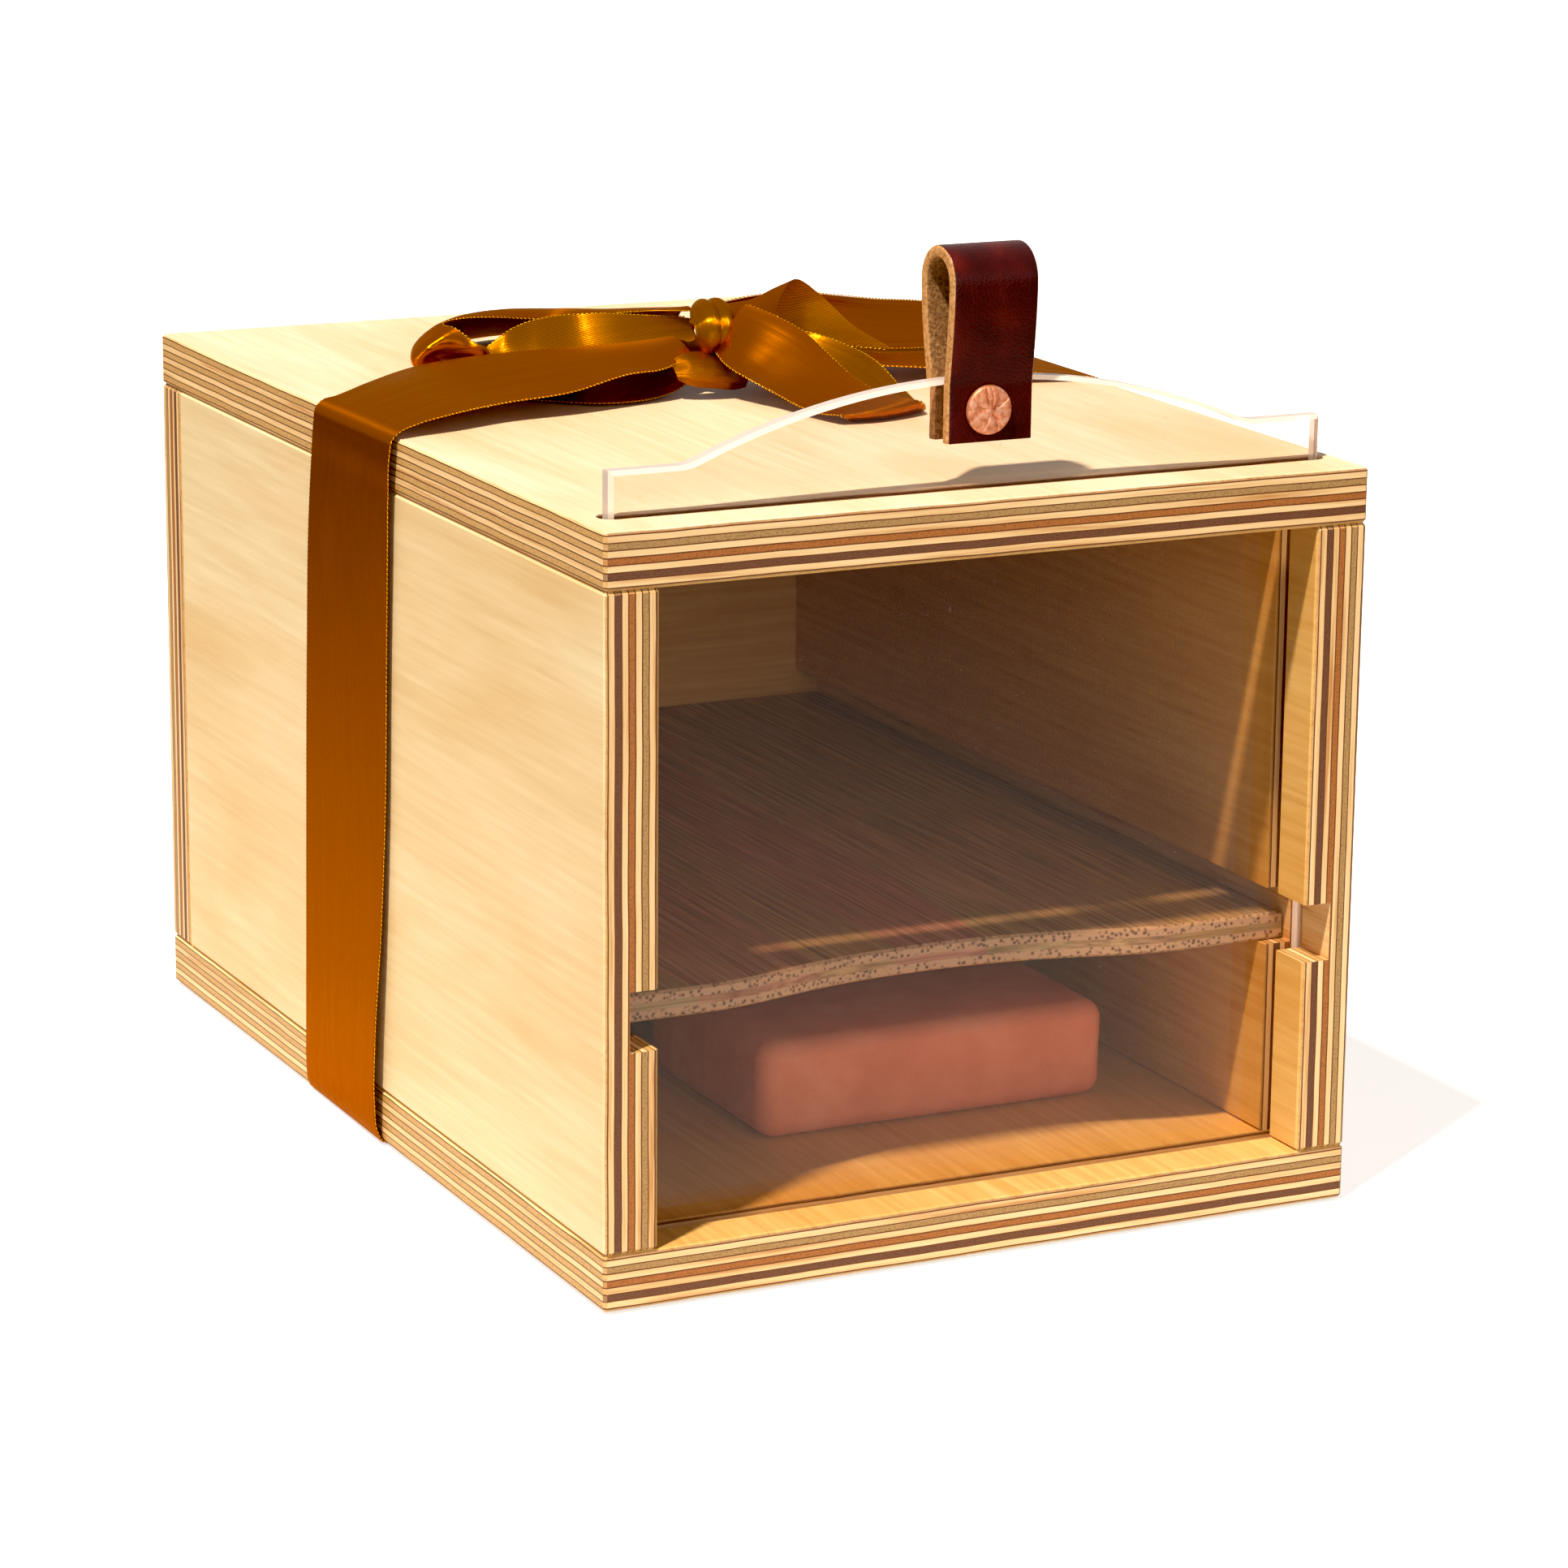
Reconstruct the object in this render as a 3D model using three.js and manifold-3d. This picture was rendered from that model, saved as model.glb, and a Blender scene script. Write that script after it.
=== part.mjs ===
// A plywood cheese storage box with a lift-out clear front, a bamboo shelf, a clay humidity brick
// and a satin ribbon tied round it. Millimetres, +Z up, front towards -Y, origin under the middle.
import * as THREE from 'three';
import { ConvexGeometry } from 'three/addons/geometries/ConvexGeometry.js';
import { RoundedBoxGeometry } from 'three/addons/geometries/RoundedBoxGeometry.js';
import { mergeVertices } from 'three/addons/utils/BufferGeometryUtils.js';
import Module from 'manifold-3d';

const wasm = await Module();
wasm.setup();

// Box: five boards of one plywood
const BOX_WIDTH = 175;
const BOX_DEPTH = 260;
const BOX_HEIGHT = 161;
const PLY = 12;
const EDGE_EASE = 0.7;

// Ribbon: it passes under the box, so the boards stand on its thickness
const RIBBON_WIDTH = 48;
const RIBBON_THICK = 0.4;
const RIBBON_GAP = 0.1;
const BASE = RIBBON_THICK + RIBBON_GAP;

// Router cuts: a quarter inch groove for the front panel, a half inch dado for the shelf
const GROOVE = 6.35;
const CUT_DEPTH = 6.35;
const FRONT_LIP = 11;
const OVERCUT = 1;
const SLOT_HALF_LENGTH = 83.6;
const SLOT_SHIFT = 0.8;
const PANEL_GROOVE_DEPTH = 7.6;
const DADO_HEIGHT = 12.7;
const DADO_FLOOR = BASE + 54.3;

// Clear front panel
const PANEL_THICK = 4.5;
const PANEL_HALF_WIDTH = 81.8;
const PANEL_SHIFT = 0.75;
const PANEL_EASE = 0.9;
const PANEL_SHOULDER = 9.4;
const PANEL_CROWN = 22.9;
const CROWN_HALF_CHORD = 64.3;
const SHOULDER_FILLET = 2.5;
const REST_GAP = 0.15;

// Leather pull, folded over the panel's top edge
const STRAP_WIDTH = 19.5;
const STRAP_THICK = 2.6;
const PULL_SHIFT = 2.2;
const PULL_BOTTOM = BASE + 171;
const PULL_PINCH = BASE + 182.5;
const PULL_TOP = BASE + 210.8;
const LOOP_RADIUS = 6.1;
const LOOP_LEAN = 0.6;
const LEG_BULGE = 0.6;
const LEG_STEPS = 10;
const LOOP_STEPS = 16;

// Rivet
const RIVET_SHIFT = 1.5;
const RIVET_HEIGHT = BASE + 177.6;
const RIVET_HEAD_RADIUS = 5.1;
const RIVET_HEAD_RISE = 1.3;
const RIVET_HEAD_EDGE = 0.45;
const RIVET_HEAD_SHOULDER = 0.9;
const RIVET_HEAD_ROUND = 0.6;
const RIVET_HEAD_DOME = 0.12;
const RIVET_BURR_RADIUS = 4.4;
const RIVET_BURR_EDGE = 0.5;
const RIVET_BURR_THICK = 1;
const RIVET_BURR_ROUND = 0.8;
const RIVET_PEEN = 0.2;
const RIVET_POST_RADIUS = 1.8;
const RIVET_HOLE_RADIUS = 2.15;
const FIT_GAP = 0.3;

// Shelf
const SHELF_THICK = 6;
const SHELF_HALF_WIDTH = 81.25;
const SHELF_FRONT = -110;
const SHELF_BACK = 117;
const SCOOP_HALF_WIDTH = 58;
const SCOOP_DEPTH = 8.5;
const SCOOP_SHOULDER = 0.68 * SCOOP_HALF_WIDTH;
const SCOOP_HOLLOW = 0.55 * SCOOP_HALF_WIDTH;
const SHELF_EASE = 0.6;

// Clay brick
const BRICK = { width: 85, depth: 60, height: 22, round: 4.5 };
const BRICK_CENTRE_X = 15;
const BRICK_FRONT = -77;

// Dowels hidden in the butt joints
const DOWEL_RADIUS = 3;
const DOWEL_HOLE_RADIUS = 3.4;
const DOWEL_LENGTH = 24;
const DOWEL_IN_FACE = 8;
const DOWEL_CHAMFER = 0.8;
const DOWEL_SIDES = 12;
const ROUND_SIDES = 32;

const HALF_WIDTH = BOX_WIDTH / 2;
const HALF_DEPTH = BOX_DEPTH / 2;
const FLOOR = BASE + PLY;
const CEILING = BASE + BOX_HEIGHT - PLY;
const LID_TOP = BASE + BOX_HEIGHT;
const INNER_X = HALF_WIDTH - PLY;
const BACK_Y = HALF_DEPTH - PLY;
const GROOVE_FRONT = FRONT_LIP - HALF_DEPTH;
const GROOVE_MIDDLE = GROOVE_FRONT + GROOVE / 2;

const COLOURS = {
  birch: { color: 0xefcf98, roughness: 0.55, metalness: 0 },
  beech: { color: 0xd9b27c, roughness: 0.7, metalness: 0 },
  bamboo: { color: 0xa98360, roughness: 0.6, metalness: 0 },
  acrylic: { color: 0xf3eeee, roughness: 0.05, metalness: 0, transparent: true, opacity: 0.3 },
  leather: { color: 0x4c120e, roughness: 0.45, metalness: 0 },
  copper: { color: 0xc47350, roughness: 0.35, metalness: 1 },
  clay: { color: 0xc0705a, roughness: 0.9, metalness: 0 },
  satin: { color: 0x8f5205, roughness: 0.35, metalness: 0 },
};

const box = new THREE.Group();

// Adds one named piece to the box.
function addPiece(name, geometry, finish) {
  const mesh = new THREE.Mesh(geometry, new THREE.MeshStandardMaterial(COLOURS[finish]));
  mesh.name = name;
  box.add(mesh);
}

// Keeps only positions, merges shared corners and turns the faces outwards.
function closed(geometry) {
  const bare = new THREE.BufferGeometry();
  bare.setAttribute('position', geometry.getAttribute('position').clone());
  if (geometry.index) {
    bare.setIndex(geometry.index.clone());
  }
  const merged = mergeVertices(bare, 1e-4);
  const places = merged.getAttribute('position');
  const index = Array.from(merged.index.array);
  const corner = [new THREE.Vector3(), new THREE.Vector3(), new THREE.Vector3()];
  const kept = [];
  let volume = 0;
  for (let i = 0; i < index.length; i += 3) {
    const [a, b, c] = index.slice(i, i + 3);
    if (a === b || b === c || c === a) {
      continue;
    }
    [a, b, c].forEach((vertex, k) => corner[k].fromBufferAttribute(places, vertex));
    volume += corner[0].dot(corner[1].clone().cross(corner[2])) / 6;
    kept.push([a, b, c]);
  }
  merged.setIndex(kept.flatMap(([a, b, c]) => (volume < 0 ? [a, c, b] : [a, b, c])));
  return merged;
}

// Turns a geometry into a solid for cutting and joining.
function solidOf(geometry) {
  const merged = closed(geometry);
  return new wasm.Manifold(new wasm.Mesh({
    numProp: 3,
    vertProperties: new Float32Array(merged.getAttribute('position').array),
    triVerts: new Uint32Array(merged.index.array),
  }));
}

// Cuts every tool out of a piece and returns the piece as a geometry.
function cut(piece, tools) {
  const solid = tools.reduce((body, tool) => body.subtract(solidOf(tool)), solidOf(piece));
  const mesh = solid.getMesh();
  const places = new THREE.BufferAttribute(new Float32Array(mesh.vertProperties), 3);
  const geometry = new THREE.BufferGeometry();
  geometry.setAttribute('position', places);
  geometry.setIndex(Array.from(mesh.triVerts));
  return geometry;
}

// A block between two corners.
function block(low, high) {
  const size = high.map((value, i) => value - low[i]);
  const middle = high.map((value, i) => (value + low[i]) / 2);
  return new THREE.BoxGeometry(...size).translate(...middle);
}

// A sawn board between two corners with every edge eased.
function easedBoard(low, high) {
  const points = [];
  for (let ends = 0; ends < 8; ends += 1) {
    const pick = [ends & 1, (ends >> 1) & 1, (ends >> 2) & 1];
    for (let flush = 0; flush < 3; flush += 1) {
      const at = pick.map((end, i) => {
        const inset = i === flush ? 0 : EDGE_EASE;
        return end ? high[i] - inset : low[i] + inset;
      });
      points.push(new THREE.Vector3(...at));
    }
  }
  return new ConvexGeometry(points);
}

// A slot with round ends, as a router leaves it, along X between two heights.
function routedSlot(bottom, top) {
  const radius = GROOVE / 2;
  const reach = SLOT_HALF_LENGTH - radius;
  const outline = new THREE.Shape();
  outline.moveTo(-reach, -radius);
  outline.lineTo(reach, -radius);
  outline.absarc(reach, 0, radius, -Math.PI / 2, Math.PI / 2, false);
  outline.lineTo(-reach, radius);
  outline.absarc(-reach, 0, radius, Math.PI / 2, Math.PI * 1.5, false);
  const slot = new THREE.ExtrudeGeometry(outline, {
    depth: top - bottom, bevelEnabled: false, curveSegments: 8,
  });
  return slot.translate(SLOT_SHIFT, GROOVE_MIDDLE, bottom);
}

// A cylinder along an axis of the box, centred on a point.
function rod(radius, length, axis, at, sides = DOWEL_SIDES) {
  const geometry = new THREE.CylinderGeometry(radius, radius, length, sides);
  if (axis === 'z') {
    geometry.rotateX(Math.PI / 2);
  }
  return geometry.translate(...at);
}

// Dowel joints: where each pin crosses a joint plane, its axis, and which way its short end points.
function dowelPlan() {
  const pins = [];
  const middleX = HALF_WIDTH - PLY / 2;
  const sideStations = { front: -85, middle: -5, rear: 80 };
  const backStations = { left: -42, right: 42 };
  const cornerHeights = { lower: FLOOR + 20, upper: CEILING - 20 };
  const planes = { top: [CEILING, 1], bottom: [FLOOR, -1] };
  for (const [level, [plane, faceSide]] of Object.entries(planes)) {
    for (const [hand, sign] of [['left', -1], ['right', 1]]) {
      for (const [place, y] of Object.entries(sideStations)) {
        const name = `dowel_${level}_${hand}_${place}`;
        pins.push({ name, axis: 'z', at: [sign * middleX, y, plane], faceSide });
      }
    }
    for (const [place, x] of Object.entries(backStations)) {
      const name = `dowel_${level}_back_${place}`;
      pins.push({ name, axis: 'z', at: [x, HALF_DEPTH - PLY / 2, plane], faceSide });
    }
  }
  for (const [hand, sign] of [['left', -1], ['right', 1]]) {
    for (const [place, z] of Object.entries(cornerHeights)) {
      const name = `dowel_back_${hand}_${place}`;
      pins.push({ name, axis: 'y', at: [sign * middleX, BACK_Y, z], faceSide: 1 });
    }
  }
  return pins;
}

// Centre of a pin: its short end sits in the face of one board, its long end in the edge of the other.
function pinCentre(pin) {
  const shift = pin.faceSide * (DOWEL_IN_FACE - DOWEL_LENGTH / 2);
  const along = pin.axis === 'z' ? 2 : 1;
  return pin.at.map((value, i) => (i === along ? value + shift : value));
}

// The drilled hole that a pin sits in, through both boards.
function pinHole(pin) {
  return rod(DOWEL_HOLE_RADIUS, DOWEL_LENGTH + 2 * FIT_GAP, pin.axis, pinCentre(pin));
}

const pins = dowelPlan();
const holesFor = (...starts) => pins.filter((pin) => starts.some((start) => pin.name.startsWith(start)));
const drill = (...starts) => holesFor(...starts).map(pinHole);

// Boards. The top and bottom run over everything, the back runs between them, the sides butt on it.
const topBoard = easedBoard([-HALF_WIDTH, -HALF_DEPTH, CEILING], [HALF_WIDTH, HALF_DEPTH, LID_TOP]);
const topSlot = routedSlot(CEILING - OVERCUT, LID_TOP + OVERCUT);
addPiece('top_panel', cut(topBoard, [topSlot, ...drill('dowel_top')]), 'birch');

const bottomBoard = easedBoard([-HALF_WIDTH, -HALF_DEPTH, BASE], [HALF_WIDTH, HALF_DEPTH, FLOOR]);
const bottomGroove = routedSlot(FLOOR - CUT_DEPTH, FLOOR + OVERCUT);
addPiece('bottom_panel', cut(bottomBoard, [bottomGroove, ...drill('dowel_bottom')]), 'birch');

const backBoard = easedBoard([-HALF_WIDTH, BACK_Y, FLOOR], [HALF_WIDTH, HALF_DEPTH, CEILING]);
const backHoles = drill('dowel_back', 'dowel_top_back', 'dowel_bottom_back');
addPiece('back_panel', cut(backBoard, backHoles), 'birch');

for (const [hand, sign] of [['left', -1], ['right', 1]]) {
  const faces = [sign * HALF_WIDTH, sign * INNER_X].sort((a, b) => a - b);
  const board = easedBoard([faces[0], -HALF_DEPTH, FLOOR], [faces[1], BACK_Y, CEILING]);
  const cutTo = (depth) => [INNER_X - OVERCUT, INNER_X + depth].map((x) => sign * x).sort((a, b) => a - b);
  const grooveX = cutTo(PANEL_GROOVE_DEPTH);
  const groove = block(
    [grooveX[0], GROOVE_FRONT, FLOOR - OVERCUT],
    [grooveX[1], GROOVE_FRONT + GROOVE, CEILING + OVERCUT],
  );
  const dadoX = cutTo(CUT_DEPTH);
  const dado = block(
    [dadoX[0], -HALF_DEPTH - OVERCUT, DADO_FLOOR],
    [dadoX[1], BACK_Y + OVERCUT, DADO_FLOOR + DADO_HEIGHT],
  );
  const holes = drill(`dowel_top_${hand}`, `dowel_bottom_${hand}`, `dowel_back_${hand}`);
  addPiece(`${hand}_side`, cut(board, [groove, dado, ...holes]), 'birch');
}

// Dowel pins with chamfered ends.
for (const pin of pins) {
  const half = DOWEL_LENGTH / 2;
  const profile = [
    [0, -half],
    [DOWEL_RADIUS - DOWEL_CHAMFER, -half],
    [DOWEL_RADIUS, -half + DOWEL_CHAMFER],
    [DOWEL_RADIUS, half - DOWEL_CHAMFER],
    [DOWEL_RADIUS - DOWEL_CHAMFER, half],
    [0, half],
  ].map(([r, y]) => new THREE.Vector2(r, y));
  const dowel = new THREE.LatheGeometry(profile, DOWEL_SIDES);
  if (pin.axis === 'z') {
    dowel.rotateX(Math.PI / 2);
  }
  addPiece(pin.name, closed(dowel.translate(...pinCentre(pin))), 'beech');
}

// Front panel: a clear sheet with low shoulders, a crowned middle and eased edges.
const panelFoot = FLOOR - CUT_DEPTH + REST_GAP;
const shoulderTop = LID_TOP + PANEL_SHOULDER;
const crownRise = PANEL_CROWN - PANEL_SHOULDER;
const crownRadius = (CROWN_HALF_CHORD ** 2 + crownRise ** 2) / (2 * crownRise);
const crownCentre = LID_TOP + PANEL_CROWN - crownRadius;
const crownStart = CROWN_HALF_CHORD - SHOULDER_FILLET;
const shoulderEnd = CROWN_HALF_CHORD + SHOULDER_FILLET;
const crownAngle = Math.acos(crownStart / crownRadius);
const crownStartTop = crownCentre + Math.sqrt(crownRadius ** 2 - crownStart ** 2);
const panelOutline = new THREE.Shape();
panelOutline.moveTo(-PANEL_HALF_WIDTH, panelFoot);
panelOutline.lineTo(PANEL_HALF_WIDTH, panelFoot);
panelOutline.lineTo(PANEL_HALF_WIDTH, shoulderTop);
panelOutline.lineTo(shoulderEnd, shoulderTop);
panelOutline.quadraticCurveTo(CROWN_HALF_CHORD, shoulderTop, crownStart, crownStartTop);
panelOutline.absarc(0, crownCentre, crownRadius, crownAngle, Math.PI - crownAngle, false);
panelOutline.quadraticCurveTo(-CROWN_HALF_CHORD, shoulderTop, -shoulderEnd, shoulderTop);
panelOutline.lineTo(-PANEL_HALF_WIDTH, shoulderTop);
const panelSheet = new THREE.ExtrudeGeometry(panelOutline, {
  depth: PANEL_THICK - 2 * PANEL_EASE,
  bevelThickness: PANEL_EASE,
  bevelSize: PANEL_EASE,
  bevelOffset: -PANEL_EASE,
  bevelSegments: 1,
  curveSegments: 16,
});
const panelBack = GROOVE_MIDDLE + PANEL_THICK / 2 - PANEL_EASE;
panelSheet.rotateX(Math.PI / 2).translate(PANEL_SHIFT, panelBack, 0);
const rivetAt = [RIVET_SHIFT, GROOVE_MIDDLE, RIVET_HEIGHT];
const rivetGrip = 2 * (STRAP_THICK + REST_GAP) + PANEL_THICK;
const rivetHole = rod(RIVET_HOLE_RADIUS, rivetGrip + 2 * OVERCUT, 'y', rivetAt, ROUND_SIDES);
addPiece('front_panel', cut(panelSheet, [rivetHole]), 'acrylic');

// Leather pull: a strap of even thickness along a centre line, which is seen from the side. Its legs
// swing out from the pinch above the panel to a round loop, the rear leg further than the front one.
const strapIn = PANEL_THICK / 2 + REST_GAP;
const strapOut = strapIn + STRAP_THICK;
const strapMiddle = (strapIn + strapOut) / 2;
const loopCentre = PULL_TOP - STRAP_THICK / 2 - LOOP_RADIUS;

// How far a leg has swung out at a height, from 0 at the pinch to 1 at the loop.
function swing(height) {
  const s = THREE.MathUtils.clamp((height - PULL_PINCH) / (loopCentre - PULL_PINCH), 0, 1);
  return 1 - (1 - s) ** 2 * (1 + LEG_BULGE * s);
}

// Centre line of the strap: up the front, over the loop and down the back.
function strapLine() {
  const heights = [PULL_BOTTOM, PULL_PINCH];
  for (let i = 1; i <= LEG_STEPS; i += 1) {
    heights.push(PULL_PINCH + (i / LEG_STEPS) * (loopCentre - PULL_PINCH));
  }
  const leg = (side) => heights.map((height) => {
    const reach = LOOP_RADIUS + side * LOOP_LEAN - strapMiddle;
    return new THREE.Vector2(side * (strapMiddle + reach * swing(height)), height);
  });
  const top = [];
  for (let i = 1; i < LOOP_STEPS; i += 1) {
    const turn = Math.PI * (1 - i / LOOP_STEPS);
    top.push(new THREE.Vector2(
      LOOP_LEAN + LOOP_RADIUS * Math.cos(turn),
      loopCentre + LOOP_RADIUS * Math.sin(turn),
    ));
  }
  return [...leg(-1), ...top, ...leg(1).reverse()];
}

const strapPoints = strapLine();
const strapSides = [1, -1].map((side) => strapPoints.map((at, i) => {
  const before = strapPoints[Math.max(i - 1, 0)];
  const after = strapPoints[Math.min(i + 1, strapPoints.length - 1)];
  const along = after.clone().sub(before).normalize();
  const level = i < 2 || i > strapPoints.length - 3;
  const out = level ? new THREE.Vector2(i < 2 ? -1 : 1, 0) : new THREE.Vector2(-along.y, along.x);
  return at.clone().addScaledVector(out, side * STRAP_THICK / 2);
}));
const strapView = new THREE.Shape([...strapSides[0], ...strapSides[1].reverse()]);
const strap = new THREE.ExtrudeGeometry(strapView, { depth: STRAP_WIDTH, bevelEnabled: false });
strap.applyMatrix4(new THREE.Matrix4().makeBasis(
  new THREE.Vector3(0, 1, 0), new THREE.Vector3(0, 0, 1), new THREE.Vector3(1, 0, 0),
));
strap.translate(PULL_SHIFT - STRAP_WIDTH / 2, GROOVE_MIDDLE, 0);
addPiece('leather_pull', cut(strap, [rivetHole]), 'leather');

// Rivet: a post with a burr behind and a domed head in front, both on the pull's faces.
const postFront = -strapOut;
const burrFace = strapOut + REST_GAP;
const postProfile = [
  [0, postFront],
  [RIVET_POST_RADIUS, postFront],
  [RIVET_POST_RADIUS, burrFace],
  [RIVET_BURR_RADIUS, burrFace],
  [RIVET_BURR_RADIUS, burrFace + RIVET_BURR_EDGE],
  [RIVET_BURR_RADIUS - RIVET_BURR_ROUND, burrFace + RIVET_BURR_THICK],
  [0, burrFace + RIVET_BURR_THICK + RIVET_PEEN],
].map(([r, y]) => new THREE.Vector2(r, y));
const post = new THREE.LatheGeometry(postProfile, ROUND_SIDES);
addPiece('rivet_post', closed(post.translate(...rivetAt)), 'copper');

const headBack = postFront - FIT_GAP;
const headOutline = new THREE.SplineCurve([
  new THREE.Vector2(RIVET_HEAD_RADIUS, headBack - RIVET_HEAD_EDGE),
  new THREE.Vector2(RIVET_HEAD_RADIUS - RIVET_HEAD_ROUND, headBack - RIVET_HEAD_SHOULDER),
  new THREE.Vector2(RIVET_HEAD_RADIUS / 2, headBack - RIVET_HEAD_RISE + RIVET_HEAD_DOME),
  new THREE.Vector2(0, headBack - RIVET_HEAD_RISE),
]);
const headProfile = [
  new THREE.Vector2(0, headBack),
  new THREE.Vector2(RIVET_HEAD_RADIUS, headBack),
  ...headOutline.getPoints(8),
];
headProfile[headProfile.length - 1].x = 0;
const head = new THREE.LatheGeometry(headProfile, ROUND_SIDES);
addPiece('rivet_head', closed(head.translate(...rivetAt)), 'copper');

// Shelf: bamboo board with eased edges and a scooped front, lying on the floor of the two dados.
const shelfSide = SHELF_HALF_WIDTH - SHELF_EASE;
const shelfFront = SHELF_FRONT + SHELF_EASE;
const shelfBack = SHELF_BACK - SHELF_EASE;
const scoopBottom = shelfFront + SCOOP_DEPTH;
const shelfPlan = new THREE.Shape();
shelfPlan.moveTo(-shelfSide, shelfFront);
shelfPlan.lineTo(-SCOOP_HALF_WIDTH, shelfFront);
shelfPlan.bezierCurveTo(-SCOOP_SHOULDER, shelfFront, -SCOOP_HOLLOW, scoopBottom, 0, scoopBottom);
shelfPlan.bezierCurveTo(SCOOP_HOLLOW, scoopBottom, SCOOP_SHOULDER, shelfFront, SCOOP_HALF_WIDTH, shelfFront);
shelfPlan.lineTo(shelfSide, shelfFront);
shelfPlan.lineTo(shelfSide, shelfBack);
shelfPlan.lineTo(-shelfSide, shelfBack);
const shelf = new THREE.ExtrudeGeometry(shelfPlan, {
  depth: SHELF_THICK - 2 * SHELF_EASE,
  bevelThickness: SHELF_EASE,
  bevelSize: SHELF_EASE,
  bevelSegments: 1,
  curveSegments: 12,
});
addPiece('shelf', closed(shelf.translate(0, 0, DADO_FLOOR + REST_GAP + SHELF_EASE)), 'bamboo');

// Clay brick with worn round edges, lying loose on the floor.
const brick = new RoundedBoxGeometry(BRICK.width, BRICK.depth, BRICK.height, 3, BRICK.round);
const brickMiddle = [
  BRICK_CENTRE_X,
  BRICK_FRONT + BRICK.depth / 2,
  FLOOR + REST_GAP + BRICK.height / 2,
];
addPiece('humidity_brick', closed(brick.translate(...brickMiddle)), 'clay');

// A smooth line through points.
function smoothLine(points) {
  return new THREE.CatmullRomCurve3(points, false, 'centripetal');
}

// Mid surface of a stretch of ribbon: a grid of points through stations, each of which is a row
// of points from one edge to the other.
function ribbonGrid(stations, steps, across) {
  const rails = stations[0].map((_, rail) => (
    smoothLine(stations.map((row) => new THREE.Vector3(...row[rail])))
  ));
  const grid = [];
  for (let i = 0; i <= steps; i += 1) {
    const row = smoothLine(rails.map((rail) => rail.getPoint(i / steps)));
    grid.push(Array.from({ length: across + 1 }, (_, j) => row.getPoint(j / across)));
  }
  return grid;
}

// One stretch of ribbon as a thin closed sheet, half its thickness to each side of the mid surface.
function ribbonStretch(stations, steps, across) {
  const grid = ribbonGrid(stations, steps, across);
  const columns = across + 1;
  const layer = (steps + 1) * columns;
  const faces = [[], []];
  grid.forEach((row, i) => row.forEach((at, j) => {
    const along = grid[Math.min(i + 1, steps)][j].clone().sub(grid[Math.max(i - 1, 0)][j]);
    const over = row[Math.min(j + 1, across)].clone().sub(row[Math.max(j - 1, 0)]);
    const normal = along.cross(over).setLength(RIBBON_THICK / 2);
    faces[0].push(...at.clone().add(normal).toArray());
    faces[1].push(...at.clone().sub(normal).toArray());
  }));
  const index = [];
  for (let i = 0; i < steps; i += 1) {
    for (let j = 0; j < across; j += 1) {
      const a = i * columns + j;
      const b = a + columns;
      index.push(a, b, a + 1, a + 1, b, b + 1);
      index.push(a + layer, a + 1 + layer, b + layer, a + 1 + layer, b + 1 + layer, b + layer);
    }
  }
  const rim = [];
  for (let j = 0; j < across; j += 1) {
    rim.push(j);
  }
  for (let i = 0; i < steps; i += 1) {
    rim.push(i * columns + across);
  }
  for (let j = across; j > 0; j -= 1) {
    rim.push(steps * columns + j);
  }
  for (let i = steps; i > 0; i -= 1) {
    rim.push(i * columns);
  }
  rim.forEach((a, k) => {
    const b = rim[(k + 1) % rim.length];
    index.push(a, b, b + layer, a, b + layer, a + layer);
  });
  const sheet = new THREE.BufferGeometry();
  sheet.setAttribute('position', new THREE.BufferAttribute(new Float32Array(faces.flat()), 3));
  sheet.setIndex(index);
  return closed(sheet);
}

// Ribbon round the box: the side runs lean towards the back as they go down, the left one more.
const WRAP_LEFT_TOP = -21.5;
const WRAP_RIGHT_TOP = -14;
const WRAP_BOTTOM = -9;
const WRAP_OUT = HALF_WIDTH + RIBBON_GAP;
const under = block(
  [-WRAP_OUT, WRAP_BOTTOM, 0],
  [WRAP_OUT, WRAP_BOTTOM + RIBBON_WIDTH, RIBBON_THICK],
);
addPiece('ribbon_under', under, 'satin');

for (const [hand, sign, topFront] of [['left', -1, WRAP_LEFT_TOP], ['right', 1, WRAP_RIGHT_TOP]]) {
  const run = new THREE.Shape();
  run.moveTo(WRAP_BOTTOM, FIT_GAP);
  run.lineTo(WRAP_BOTTOM + RIBBON_WIDTH, FIT_GAP);
  run.lineTo(topFront + RIBBON_WIDTH, LID_TOP - FIT_GAP);
  run.lineTo(topFront, LID_TOP - FIT_GAP);
  const strip = new THREE.ExtrudeGeometry(run, { depth: RIBBON_THICK, bevelEnabled: false });
  strip.applyMatrix4(new THREE.Matrix4().makeBasis(
    new THREE.Vector3(0, 1, 0), new THREE.Vector3(0, 0, 1), new THREE.Vector3(1, 0, 0),
  ));
  const inner = WRAP_OUT + FIT_GAP;
  strip.translate(sign > 0 ? inner : -inner - RIBBON_THICK, 0, 0);
  addPiece(`ribbon_side_${hand}`, closed(strip), 'satin');
}

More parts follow.
